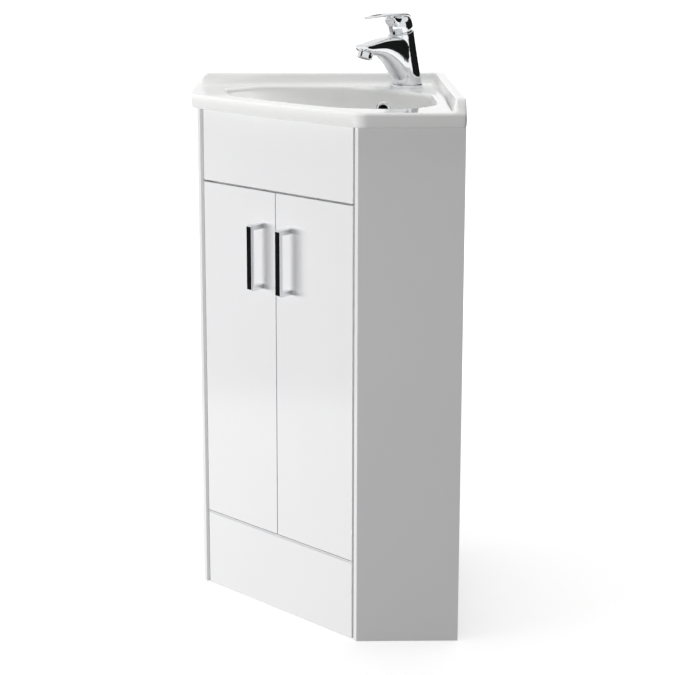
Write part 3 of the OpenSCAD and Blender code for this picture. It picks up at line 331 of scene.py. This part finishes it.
def gauze_tree(material):
    """Geometry Nodes for a round wire gauze: two layers of straight wires, each as long as its chord."""
    tree = bpy.data.node_groups.new("wire_gauze", "GeometryNodeTree")
    tree.interface.new_socket("Geometry", in_out="OUTPUT", socket_type="NodeSocketGeometry")
    for name in ("Radius", "Pitch", "Wire"):
        tree.interface.new_socket(name, in_out="INPUT", socket_type="NodeSocketFloat")
    sizes = add(tree, "NodeGroupInput").outputs
    # The outermost wires stop a little short of the edge, and the layers lie just under two radii apart.
    width = add(tree, "ShaderNodeMath", {0: sizes["Radius"], 1: 1.96}, operation="MULTIPLY").outputs[0]
    count = add(tree, "ShaderNodeMath", {0: width, 1: sizes["Pitch"]}, operation="DIVIDE").outputs[0]
    half = add(tree, "ShaderNodeMath", {0: width, 1: -0.5}, operation="MULTIPLY").outputs[0]
    start = add(tree, "ShaderNodeCombineXYZ", {"X": half}).outputs[0]
    step = add(tree, "ShaderNodeCombineXYZ", {"X": sizes["Pitch"]}).outputs[0]
    row = add(tree, "GeometryNodeMeshLine", {"Count": count, "Start Location": start, "Offset": step})
    place = add(tree, "GeometryNodeInputPosition").outputs[0]
    from_middle = add(tree, "ShaderNodeSeparateXYZ", {0: place}).outputs["X"]
    square = add(tree, "ShaderNodeMath", {0: from_middle, 1: from_middle}, operation="MULTIPLY").outputs[0]
    radius = sizes["Radius"]
    whole = add(tree, "ShaderNodeMath", {0: radius, 1: radius}, operation="MULTIPLY").outputs[0]
    rest = add(tree, "ShaderNodeMath", {0: whole, 1: square}, operation="SUBTRACT").outputs[0]
    half_chord = add(tree, "ShaderNodeMath", {0: rest, 1: 0.5}, operation="POWER").outputs[0]
    chord = add(tree, "ShaderNodeMath", {0: half_chord, 1: 2.0}, operation="MULTIPLY").outputs[0]
    length = add(tree, "ShaderNodeCombineXYZ", {"X": 1.0, "Y": 1.0, "Z": chord}).outputs[0]
    wire = add(tree, "GeometryNodeMeshCylinder", {"Vertices": 6, "Radius": sizes["Wire"], "Depth": 1.0})
    wires = add(tree, "GeometryNodeInstanceOnPoints", {
        "Points": row.outputs["Mesh"], "Instance": wire.outputs["Mesh"],
        "Rotation": (math.pi / 2, 0, 0), "Scale": length}).outputs[0]
    thick = add(tree, "ShaderNodeMath", {0: sizes["Wire"], 1: 1.8}, operation="MULTIPLY").outputs[0]
    lift = add(tree, "ShaderNodeCombineXYZ", {"Z": thick}).outputs[0]
    crossing = add(tree, "GeometryNodeTransform", {
        "Geometry": wires, "Translation": lift, "Rotation": (0, 0, math.pi / 2)}).outputs[0]
    both = add(tree, "GeometryNodeJoinGeometry", {0: wires})
    tree.links.new(crossing, both.inputs[0])
    solid = add(tree, "GeometryNodeRealizeInstances", {0: both.outputs[0]}).outputs[0]
    done = add(tree, "GeometryNodeSetMaterial", {"Geometry": solid, "Material": material}).outputs[0]
    add(tree, "NodeGroupOutput", {"Geometry": done})
    return tree


def aerator_gauze():
    """The steel gauze under the aerator's screen, on the spout's tilted outlet."""
    low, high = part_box("aerator_screen")
    upward = Vector((0, math.sin(OUTLET_TILT), math.cos(OUTLET_TILT)))
    piece = put_mesh("aerator_gauze", [], [])
    weave = piece.modifiers.new("weave", "NODES")
    weave.node_group = gauze_tree(SLOT_MATERIALS["zinc_steel"])
    sizes = {"Radius": (high.x - low.x) / 2 - GAUZE_CLEARANCE * MM,
             "Pitch": GAUZE_PITCH * MM, "Wire": GAUZE_WIRE_R * MM}
    for socket in weave.node_group.interface.items_tree:
        if socket.name in sizes:
            weave[socket.identifier] = sizes[socket.name]
    settle(piece)
    spot = (low + high) / 2 - upward * GAUZE_DROP * MM
    piece.data.transform(Matrix.Translation(spot) @ Matrix.Rotation(-OUTLET_TILT, 4, "X"))
    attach(piece, "cabinet")


aerator_gauze()


# ---------------------------------------------------------------- edges of the white boards

BAND_OUTER = 177.7       # from the middle to a side panel's outer front corner
BAND_W = 9.2
BAND_CHAMFER = 3.0
LIP_OVERLAP = EDGE_RADIUS["plinth_panel"]
LIP_RISE = 1.6
LIP_CHAMFER = 0.6


def white_bar(name, points):
    """A straight bar of white board, closed, from its outline at one end and then at the other."""
    count = len(points) // 2
    faces = [tuple(range(count)), tuple(range(count, 2 * count))]
    faces += [(i, i + count, (i + 1) % count + count, (i + 1) % count) for i in range(count)]
    piece = put_mesh(name, points, faces)
    form = bmesh.new()
    form.from_mesh(piece.data)
    bmesh.ops.recalc_face_normals(form, faces=form.faces)
    form.to_mesh(piece.data)
    form.free()
    finish_with(piece, SLOT_MATERIALS["gloss_white_board"])
    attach(piece, "cabinet")


def edge_band(side, sign):
    """The side panel's front edge: mitred, flush with the fronts outside, with a chamfer to the gap."""
    low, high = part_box(side + "_side_panel")
    front = low.y / MM
    inner = BAND_OUTER - BAND_W
    corners = [(BAND_OUTER, front), (inner + BAND_CHAMFER, front), (inner, front + BAND_CHAMFER),
               (inner, front + BAND_W)]
    points = [(sign * x * MM, y * MM, z) for z in (low.z, high.z) for x, y in corners]
    white_bar(side + "_edge_band", points)


def plinth_lip():
    """The plinth's top edge, raised so that only a fine gap is left under the doors."""
    low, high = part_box("plinth_panel")
    bottom, top, chamfer = high.z - LIP_OVERLAP * MM, high.z + LIP_RISE * MM, LIP_CHAMFER * MM
    corners = [(low.y, bottom), (low.y, top - chamfer), (low.y + chamfer, top),
               (high.y, top), (high.y, bottom)]
    white_bar("plinth_lip", [(x, y, z) for x in (low.x, high.x) for y, z in corners])


edge_band("left", -1)
edge_band("right", 1)
plinth_lip()


# ---------------------------------------------------------------- basin
# Millimetres: x right, y back from the doors' front face, z up. MID_Y brings it into the frame.

rim_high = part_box("basin")[1]
MID_Y = -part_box("plinth_panel")[0].y / MM
CAB_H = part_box("right_side_panel")[1].z / MM
DECK_Z = CAB_H + 22.5                        # the rim's top in front, and the deck behind it
DECK_T = 12.0
UPSTAND_H = 19.0                             # the raised rim along both walls, over the deck
UPSTAND_T = 16.0
UPSTAND_EDGE = 4.5                           # the round of its inner top edge
UPSTAND_EDGE_SHARE = 0.15                    # and the share of the height that this round takes
UPSTAND_OUTER_R = 2.5                        # the round of its outer top edge
UPSTAND_COVE = 10.0                          # the hollow at its foot
UPSTAND_RUN = 23.0                           # the length in which its ends sweep down
BOW_R = 1250.0                               # the bowl's front side
FRONT_R = 2400.0                             # the rim's front, flatter than the bowl's
FRONT_OVER = 17.5                            # the rim's reach past the doors
RIM_CORNER_R = 34.0
RIM_END_R = 4.0
RIM_REAR_R = 9.8
RIM_EDGE_R = 5.5
RIM_FOOT_R = 3.0
RIM_BELLY = 0.6
REAR_X = rim_high.x / MM                     # the rim's widest corners
CORNER_Y = rim_high.y / MM + MID_Y + 4.0     # the room's corner, behind the rim's cut corner
RIM_SHIFT = 2 * REAR_X - CORNER_Y            # x minus y along the rim's side
BOWL_Y = 150.0                               # the bowl's middle
BOWL_DEPTH = 115.0
BOWL_REAR = 102
# The bowl's flat sides: the direction that each faces, in degrees, and its reach from the middle.
BOWL_SIDES = [(90, BOWL_REAR), (45, 143), (135, 143), (0, 201), (180, 201), (-57, 179), (-123, 179),
              (-90, 136)]
BOWL_SHARP = 22                              # higher makes crisper corners between the sides
BOWL_CURVE = 2.6                             # higher makes steeper walls and a flatter floor
BOWL_END_TURN = math.radians(11.5)           # its two ends lie this far in front of the middle line
# How far the walls run in on their way down, as a share of their reach.
REAR_SLOPE, FRONT_SLOPE, END_SLOPE = 0.05, 0.75, 0.55
BOWL_FLOOR_R = 32.0
MOUTH_GROW = 3.0                             # the lip starts this far outside the bowl's sides
MOUTH_LIP_R = 7.0
BOWL_WALL = 10.0
SHELL_TOP = 6.0                              # the bowl's outer shell starts this far below the deck
SHELL_FOOT = 6.0                             # and ends this far outside the floor
POCKET_INSET = 32                            # the flange's width under the deck
DRAIN_EDGE_R = 28
WASTE_R = 23.0
WASTE_CHAMFER = 1
BOSS_R = 34.0
BOSS_Z = DECK_Z - BOWL_DEPTH - 24
TAP_Y = sum(corner.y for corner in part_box("tap_base_ring")) / 2 / MM + MID_Y
RAYS = 480
BEND_WEIGHT = 60                             # millimetres of outline that one radian of bend counts for


def arc(centre, radius, start, end, count):
    """Points on an arc, in degrees."""
    steps = [math.radians(start + (end - start) * i / count) for i in range(count + 1)]
    return [(centre[0] + radius * math.cos(a), centre[1] + radius * math.sin(a)) for a in steps]


def rim_outline(inset):
    """The rim's plan drawn in by an inset: bowed front, round front corners, crisp ends, two walls."""
    shift = RIM_SHIFT - inset * ROOT2
    reach = CORNER_Y - inset * ROOT2
    bow = FRONT_R - inset
    bow_y = FRONT_R - FRONT_OVER
    corner_r = max(RIM_CORNER_R - 0.4 * inset, RIM_END_R)
    # The front corner's centre lies its own radius inside the bow and inside the side.
    k = shift - corner_r * ROOT2 + bow_y
    fx = (k - math.sqrt(2 * (bow - corner_r) ** 2 - k * k)) / 2
    fillet = (fx, fx - (shift - corner_r * ROOT2))
    turn = math.degrees(math.atan2(fillet[1] - bow_y, fillet[0]))
    end = ((reach + shift) / 2 - RIM_END_R * ROOT2, (reach - shift) / 2)
    rear = (0.0, reach - RIM_REAR_R * ROOT2)
    right = arc((0, bow_y), bow, -90, turn, 24)[1:-1]
    right += arc(fillet, corner_r, turn, -45, 12)
    right += arc(end, RIM_END_R, -45, 45, 6)
    right += arc(rear, RIM_REAR_R, 45, 90, 6)[:-1]
    left = [(-x, y) for x, y in reversed(right)]
    return np.array([(0, bow_y - bow)] + right + [(0, reach - RIM_REAR_R * (ROOT2 - 1))] + left)


def along_rays(outline, angles):
    """Where rays from the bowl's middle cross an outline."""
    rel = outline - np.array([0, BOWL_Y])
    turn = np.unwrap(np.arctan2(rel[:, 1], rel[:, 0]))
    turn = np.append(turn, turn[0] + 2 * math.pi)
    rel = np.vstack([rel, rel[:1]])
    hits = []
    for a in angles:
        a = (a - turn[0]) % (2 * math.pi) + turn[0]
        i = min(np.searchsorted(turn, a, side="right") - 1, len(rel) - 2)
        p, q = rel[i], rel[i + 1]
        d = np.array([math.cos(a), math.sin(a)])
        step = q - p
        t = (p[1] * d[0] - p[0] * d[1]) / (step[0] * d[1] - step[1] * d[0])
        hits.append(p + min(max(t, 0), 1) * step + np.array([0, BOWL_Y]))
    return np.array(hits)


def spread_rays():
    """Ray angles that crowd where the rim turns: even steps along its outline."""
    outline = rim_outline(0)
    closed = np.vstack([outline, outline[:1]])
    steps = np.diff(closed, axis=0)
    length = np.append(0, np.cumsum(np.hypot(*steps.T)))
    # The corners count for more, so that their arcs stay round.
    bend = np.zeros(len(length))
    heading = np.unwrap(np.arctan2(steps[:, 1], steps[:, 0]))
    bend[1:-1] = np.cumsum(np.abs(np.diff(heading)))
    bend[-1] = bend[-2]
    measure = length + BEND_WEIGHT * bend
    even = np.linspace(0, measure[-1], RAYS, endpoint=False)
    x = np.interp(even, measure, closed[:, 0])
    y = np.interp(even, measure, closed[:, 1])
    return np.unwrap(np.arctan2(y - BOWL_Y, x))


ANGLES = spread_rays()


def bowl_reach(angle, grow=0.0):
    """The bowl's reach from its middle: its sides, blended where they meet."""
    total = sum(np.maximum(0, np.cos(angle - math.radians(facing))) ** BOWL_SHARP
                / (far + grow) ** BOWL_SHARP for facing, far in BOWL_SIDES)
    return total ** (-1 / BOWL_SHARP)


def bowl_points(reach):
    """Points at a reach from the bowl's middle, with the front side bowed like the rim."""
    x = reach * np.cos(ANGLES)
    bow = np.maximum(0, -np.sin(ANGLES)) * (BOW_R - np.sqrt(BOW_R ** 2 - x ** 2))
    return np.stack([x, BOWL_Y + reach * np.sin(ANGLES) + bow], 1)


def bowl_level(depth, floor_r, grow):
    """One level of the bowl, from its mouth at depth 0 to its floor at depth 1."""
    end = np.maximum(0, np.maximum(np.cos(ANGLES + BOWL_END_TURN), -np.cos(ANGLES - BOWL_END_TURN)))
    slope = REAR_SLOPE + FRONT_SLOPE * np.maximum(0, -np.sin(ANGLES)) ** 1.5 + END_SLOPE * end ** 12
    share = (1 - depth ** BOWL_CURVE) ** (1 / BOWL_CURVE) * (1 - slope * depth)
    return bowl_points(floor_r + (bowl_reach(ANGLES, grow) - floor_r) * share)


def soft(t):
    """An S-curve from 0 to 1."""
    t = np.clip(t, 0, 1)
    return t * t * (3 - 2 * t)


def end_rise(points):
    """How far the upstand has risen, from 0 on the rim's side to 1 past its ends."""
    from_side = (RIM_SHIFT - (np.abs(points[:, 0]) - points[:, 1])) / ROOT2
    return soft(from_side / UPSTAND_RUN)


def upstand_share(inset):
    """The upstand's height over the deck as a share, at an inset from the wall."""
    edge = (inset - UPSTAND_T + UPSTAND_EDGE) / UPSTAND_EDGE
    if edge <= 0:
        return 1.0
    if edge <= 1:
        return 1 - UPSTAND_EDGE_SHARE * (1 - math.sqrt(max(0.0, 1 - edge * edge)))
    q = max(0.0, 1 - (inset - UPSTAND_T) / UPSTAND_COVE)
    return (1 - UPSTAND_EDGE_SHARE) * (1 - math.sqrt(max(0.0, 1 - q * q)))


def wall_inset(points):
    """Distance of points from the nearer wall."""
    return (CORNER_Y - np.abs(points[:, 0]) - points[:, 1]) / ROOT2


def level(points, z):
    """Points of one ring at a height, or at a height each."""
    return np.column_stack([points, np.broadcast_to(z, len(points))])


def top_z(points):
    """Height of the basin's top: the deck and the upstand."""
    shares = np.array([upstand_share(d) for d in wall_inset(points)])
    return DECK_Z + UPSTAND_H * shares * end_rise(points)


def basin_rings():
    """The basin's skin as closed rings: up the rim's face, over the top, down the bowl and back below."""
    rings = []
    # The underside of the flange, the rounded foot, and the rim's face with its slight belly.
    for a in (0, 22, 45, 68, 90):
        a = math.radians(a)
        rings.append(level(along_rays(rim_outline(RIM_FOOT_R * (1 - math.sin(a)) + RIM_BELLY), ANGLES),
                           CAB_H + RIM_FOOT_R * (1 - math.cos(a))))
    for t in (0.2, 0.35, 0.5, 0.65, 0.8):
        belly = RIM_BELLY * (1 - math.sin(math.pi * (0.1 + 0.8 * t)))
        rings.append(level(along_rays(rim_outline(belly), ANGLES),
                           CAB_H + RIM_FOOT_R + t * (DECK_Z - CAB_H - RIM_EDGE_R - RIM_FOOT_R)))
    # The edge: a full radius on the front, and the upstand's own outer edge on the walls.
    outer = along_rays(rim_outline(0), ANGLES)
    rise = end_rise(outer) * (wall_inset(outer) < 0.5 + 6 * (1 - end_rise(outer)))
    radius = RIM_EDGE_R + (UPSTAND_OUTER_R - RIM_EDGE_R) * rise
    near = along_rays(rim_outline(0.3), ANGLES)
    far = along_rays(rim_outline(RIM_EDGE_R), ANGLES)
    for a in (0, 15, 30, 45, 60, 75, 90):
        a = math.radians(a)
        share = (radius * (1 - math.cos(a)) / RIM_EDGE_R)[:, None]
        spot = near + (far - near) * share
        rings.append(level(spot, top_z(spot) - radius * (1 - math.sin(a))))
    insets = [7, 9]
    insets += [UPSTAND_T - UPSTAND_EDGE * (1 - math.sin(math.radians(a))) for a in range(0, 91, 15)]
    insets += [UPSTAND_T + UPSTAND_COVE * (1 - math.cos(math.radians(b))) for b in range(9, 91, 9)]
    for inset in insets:
        spot = along_rays(rim_outline(inset), ANGLES)
        rings.append(level(spot, top_z(spot)))
    # The deck, in to the bowl's mouth, and the bowl.
    deck_edge = rings[-1][:, :2]
    mouth = bowl_points(bowl_reach(ANGLES) + MOUTH_GROW)
    for t in (0.15, 0.3, 0.45, 0.6, 0.75, 0.88, 1.0):
        spot = deck_edge + (mouth - deck_edge) * t
        rings.append(level(spot, top_z(spot)))
    for a in (15, 30, 45, 60, 75, 90):
        a = math.radians(a)
        rings.append(level(bowl_points(bowl_reach(ANGLES) + MOUTH_GROW - MOUTH_LIP_R * math.sin(a)),
                           DECK_Z - MOUTH_LIP_R * (1 - math.cos(a))))
    # Its levels crowd towards the floor, where the walls turn in.
    depths = [1 - (1 - i / 26) ** 1.4 for i in range(1, 26)] + [1.0]
    for depth in depths:
        rings.append(level(bowl_level(depth, BOWL_FLOOR_R, MOUTH_GROW - MOUTH_LIP_R),
                           DECK_Z - MOUTH_LIP_R - depth * (BOWL_DEPTH - MOUTH_LIP_R)))
    # The waste's hole through the floor, and the boss round it below.
    circle = np.stack([np.cos(ANGLES), np.sin(ANGLES)], 1)
    boss = BOSS_Z - DECK_Z + BOWL_DEPTH
    for r, z in ((DRAIN_EDGE_R, 0), (WASTE_R + WASTE_CHAMFER, 0), (WASTE_R, -WASTE_CHAMFER),
                 (WASTE_R, boss), (BOSS_R, boss)):
        rings.append(level(np.array([0, BOWL_Y]) + r * circle, DECK_Z - BOWL_DEPTH + z))
    # Under the deck: the bowl's outer shell, the pocket and back to the flange.
    shell_h = BOWL_DEPTH + BOWL_WALL - SHELL_TOP
    for depth in (1.0, 0.97, 0.93, 0.86, 0.77, 0.66, 0.53, 0.4, 0.27, 0.14, 0.04):
        spot = bowl_level(depth, BOWL_FLOOR_R + SHELL_FOOT, BOWL_WALL)
        rings.append(level(spot, DECK_Z - SHELL_TOP - depth * shell_h))
    shell = rings[-1][:, :2] - np.array([0, BOWL_Y])
    pocket = along_rays(rim_outline(POCKET_INSET), ANGLES) - np.array([0, BOWL_Y])
    shell_r, pocket_r = np.hypot(*shell.T), np.hypot(*pocket.T)
    pocket_r = np.maximum(pocket_r, shell_r + 1)
    wall = np.array([0, BOWL_Y]) + pocket_r[:, None] * circle
    rings.append(level(wall, DECK_Z - DECK_T))
    rings.append(level(wall, CAB_H))
    return rings


def ring_mesh(name, rings):
    """A closed tube of quads through rings, the last joined to the first."""
    count = len(rings[0])
    points = np.vstack(rings)
    points[:, 1] -= MID_Y
    points *= MM
    faces = []
    for k in range(len(rings)):
        a, b = k * count, (k + 1) % len(rings) * count
        faces += [(a + i, a + (i + 1) % count, b + (i + 1) % count, b + i) for i in range(count)]
    return put_mesh(name, points.tolist(), faces, smooth=True)


def rod(start, end, radius, sides=48):
    """A closed cylinder between two points."""
    start, end = Vector(start), Vector(end)
    turn = (end - start).to_track_quat("Z", "Y")
    ring = [turn @ Vector((radius * math.cos(a), radius * math.sin(a), 0))
            for a in (2 * math.pi * i / sides for i in range(sides))]
    points = [(at + p - Vector((0, MID_Y, 0))) * MM for at in (start, end) for p in ring]
    faces = [tuple(range(sides - 1, -1, -1)), tuple(range(sides, 2 * sides))]
    faces += [(i, (i + 1) % sides, sides + (i + 1) % sides, sides + i) for i in range(sides)]
    return put_mesh("rod", [tuple(p) for p in points], faces)


def carve(piece, tools):
    """Adds or cuts rods one after another: each is an operation, the rod and its material."""
    for operation, tool, material in tools:
        tool.data.materials.append(material)
        step = piece.modifiers.new("step", "BOOLEAN")
        step.operation = operation
        step.object = tool
        step.solver = "MANIFOLD"
        step.material_mode = "TRANSFER"
    settle(piece)
    for _, tool, _ in tools:
        bpy.data.objects.remove(tool)
    piece.data.set_sharp_from_angle(angle=math.radians(35))


# The overflow way behind the bowl, its mouth in the bowl's rear wall, the trim's seat and the tap hole, lined
# with near-black clay as painted shade.
# A rod's ends that only have to pass through a wall are given round lengths.
OVERFLOW_Z = DECK_Z - 33
OVERFLOW_R = 11.2
CHANNEL_R = 7
CHANNEL_WALL = 5
CHANNEL_Y = BOWL_Y + BOWL_REAR + BOWL_WALL + 3
TRIM_SEAT_R = 16.1
TRIM_FLANGE = 3.3        # the trim's flange meets the bowl this far behind the solid ring's front
TAP_HOLE_R = 17.5
ring_low, ring_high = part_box("overflow_ring")
ring_y = ring_low.y / MM + TRIM_FLANGE + MID_Y
channel_foot = (0, CHANNEL_Y, BOSS_Z + 28)
channel_top = (0, CHANNEL_Y, DECK_Z - SHELL_TOP)
overflow_end = (0, CHANNEL_Y, OVERFLOW_Z)
glaze = SLOT_MATERIALS["vitreous_china"]
glazed_basin = ring_mesh("glazed_basin", basin_rings())
finish_with(glazed_basin, glaze)
carve(glazed_basin, [
    ("UNION", rod(channel_foot, channel_top, CHANNEL_R + CHANNEL_WALL), glaze),
    ("DIFFERENCE", rod(channel_foot, (0, CHANNEL_Y, OVERFLOW_Z + 7), CHANNEL_R), SHADE_PAINTED_CLAY),
    ("DIFFERENCE", rod((0, CHANNEL_Y - 30, OVERFLOW_Z - 3), overflow_end, OVERFLOW_R), SHADE_PAINTED_CLAY),
    # The trim's seat, lined with the near-black clay, is a painted shadow line round the trim.
    ("DIFFERENCE", rod((0, ring_y - 10, OVERFLOW_Z - 1), (0, ring_y + 1, OVERFLOW_Z), TRIM_SEAT_R), SHADE_PAINTED_CLAY),
    ("DIFFERENCE", rod((0, TAP_Y, DECK_Z - 30), (0, TAP_Y, DECK_Z + 5), TAP_HOLE_R), SHADE_PAINTED_CLAY),
])
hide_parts("basin")
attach(glazed_basin, "cabinet")


def lathe(name, centre, lean, profile, sides=96):
    """A ring turned from a closed profile of (radius, reach) pairs; the axis leans back from the front."""
    axis = Vector((0, -math.cos(lean), math.sin(lean)))
    across, upward = Vector((1, 0, 0)), Vector((0, math.sin(lean), math.cos(lean)))
    points, count = [], len(profile)
    for k in range(sides):
        turn = 2 * math.pi * k / sides
        out = across * math.cos(turn) + upward * math.sin(turn)
        points += [centre + (out * radius + axis * reach) * MM for radius, reach in profile]
    faces = [(k * count + i, k * count + (i + 1) % count, (k + 1) % sides * count + (i + 1) % count,
              (k + 1) % sides * count + i) for k in range(sides) for i in range(count)]
    made = put_mesh(name, [tuple(p) for p in points], [face[::-1] for face in faces], smooth=True)
    made.data.set_sharp_from_angle(angle=math.radians(50))
    return made


# The overflow's trim: a thin rolled ring round a wide dark hole, with a short sleeve into it.
TRIM_LEAN = math.radians(6)
TRIM_PROFILE = [(11.0, -3.0), (11.0, 0.5), (11.3, 1.1), (11.9, 1.5), (12.7, 1.6), (13.6, 1.5),
                (14.4, 1.2), (15.0, 0.7), (15.4, 0.0), (15.4, -0.4), (11.9, -0.4), (11.9, -3.0)]
ring_middle = Vector((0, ring_low.y + TRIM_FLANGE * MM, (ring_low.z + ring_high.z) / 2))
overflow_trim = lathe("overflow_trim", ring_middle, TRIM_LEAN, TRIM_PROFILE)
stands_for(overflow_trim, "cabinet", "overflow_ring")


# ---------------------------------------------------------------- studio

def camera():
    """The photograph's viewpoint, solved from its edges: square to the right side panel, over the deck."""
    data = bpy.data.cameras.new("camera")
    data.lens = 90.31
    data.sensor_width = 36
    data.shift_x = 0.0137
    data.shift_y = -0.1
    data.clip_end = 50
    made = put("camera", data)
    turn, tilt = math.radians(44.26), math.radians(12.188)
    ahead = Vector((-math.sin(turn) * math.cos(tilt), math.cos(turn) * math.cos(tilt), -math.sin(tilt)))
    made.location = Vector((1867.6, -1798.9 - MID_Y, 1126.5)) * MM
    made.rotation_mode = "QUATERNION"
    made.rotation_quaternion = ahead.to_track_quat("-Z", "Y")
    bpy.context.scene.camera = made


def softbox(name, at, towards, width, height, power):
    """An area lamp that faces a point; polished surfaces see the white surround in its place."""
    data = bpy.data.lights.new(name, "AREA")
    data.shape = "RECTANGLE"
    data.size, data.size_y = width, height
    data.energy = power
    made = put(name, data)
    made.location = at
    made.rotation_mode = "QUATERNION"
    made.rotation_quaternion = (Vector(towards) - Vector(at)).to_track_quat("-Z", "Y")
    made.visible_camera = False
    made.visible_glossy = False


# Matt black card: the chrome mirrors it as a deep black, with a crisp edge to the white.
BLACK_CARD = new_material("black_card", "#050505", Roughness=1.0)[0]


def dark_card(name, distance, from_turn, to_turn, low, high, steps=16):
    """A curved black card round the set, between two angles in degrees: polished surfaces alone see it."""
    turns = [math.radians(from_turn + (to_turn - from_turn) * i / steps) for i in range(steps + 1)]
    points = [(distance * math.cos(a), distance * math.sin(a), z) for a in turns for z in (low, high)]
    made = put_mesh(name, points, [(2 * i, 2 * i + 2, 2 * i + 3, 2 * i + 1) for i in range(steps)])
    made.data.materials.append(BLACK_CARD)
    made.visible_camera = False
    made.visible_diffuse = False
    made.visible_shadow = False
    made.visible_transmission = False


def seen_white(tree):
    """1 for what the camera, a polished surface or clear plastic sees, and 0 for light on the object."""
    path = add(tree, "ShaderNodeLightPath").outputs
    seen = path["Is Camera Ray"]
    for ray in ("Is Glossy Ray", "Is Transmission Ray"):
        seen = add(tree, "ShaderNodeMath", {0: seen, 1: path[ray]}, operation="MAXIMUM").outputs[0]
    return seen


def backdrop(ambient):
    """A white surround, and a plain level of light from all round."""
    world = bpy.data.worlds.new("studio")
    bpy.context.scene.world = world
    world.use_nodes = True
    tree = world.node_tree
    tree.nodes.clear()
    strength = add(tree, "ShaderNodeMapRange", {"Value": seen_white(tree), "To Min": ambient, "To Max": 1.0})
    light = add(tree, "ShaderNodeBackground",
                {"Color": linear("#FFFFFF"), "Strength": strength.outputs["Result"]})
    add(tree, "ShaderNodeOutputWorld", {"Surface": light.outputs["Background"]})


def floor():
    """A pale floor that is seen white where it is lit, with the unit's shadow on it."""
    half = 30.0
    corners = [(-half, -half, 0), (half, -half, 0), (half, half, 0), (-half, half, 0)]
    made = put_mesh("floor", corners, [(0, 1, 2, 3)])
    made.location.z = -0.3 * MM              # just clear of the unit's feet
    pale = bpy.data.materials.new("pale_floor")
    pale.use_nodes = True
    tree = pale.node_tree
    tree.nodes.clear()
    seen = seen_white(tree)
    # Less light bounces up from it than its pale look would give.
    tones = {"Factor": seen, "A": linear("#8E8E8E"), "B": linear("#E6E6E6")}
    base = add(tree, "ShaderNodeMix", tones, data_type="RGBA")
    matt = add(tree, "ShaderNodeBsdfDiffuse", {"Color": base.outputs["Result"]})
    glow = add(tree, "ShaderNodeEmission", {"Color": linear("#FFFFFF")})
    # The glow rises with distance, so that the floor ends in plain white.
    place = add(tree, "ShaderNodeTexCoord").outputs["Object"]
    far = add(tree, "ShaderNodeVectorMath", {0: place}, operation="LENGTH")
    rise = add(tree, "ShaderNodeMapRange", {
        "Value": far.outputs["Value"], "From Min": 0.5, "From Max": 2.2, "To Min": 0.5, "To Max": 1.0})
    lift = add(tree, "ShaderNodeMath", {0: seen, 1: rise.outputs["Result"]}, operation="MULTIPLY")
    tree.links.new(lift.outputs[0], glow.inputs["Strength"])
    both = add(tree, "ShaderNodeAddShader", {0: matt.outputs[0], 1: glow.outputs[0]})
    add(tree, "ShaderNodeOutputMaterial", {"Surface": both.outputs[0]})
    made.data.materials.append(pale)


camera()
backdrop(ambient=0.3)
floor()
softbox("key", at=(-2.53, -4.56, 0.45), towards=(0, 0, 0.45), width=3.8, height=0.8, power=228)
softbox("overhead", at=(0.0, 0.25, 3.0), towards=(0, 0.1, 0.8), width=2.0, height=2.0, power=39)
dark_card("front_left_card", distance=1.3, from_turn=-160, to_turn=-112, low=0.02, high=0.78)
dark_card("rear_right_card", distance=1.5, from_turn=14, to_turn=118, low=0.7, high=1.9)
dark_card("front_high_card", distance=1.5, from_turn=-125, to_turn=-95, low=1.39, high=1.87)
bpy.context.scene.view_settings.view_transform = "Standard"
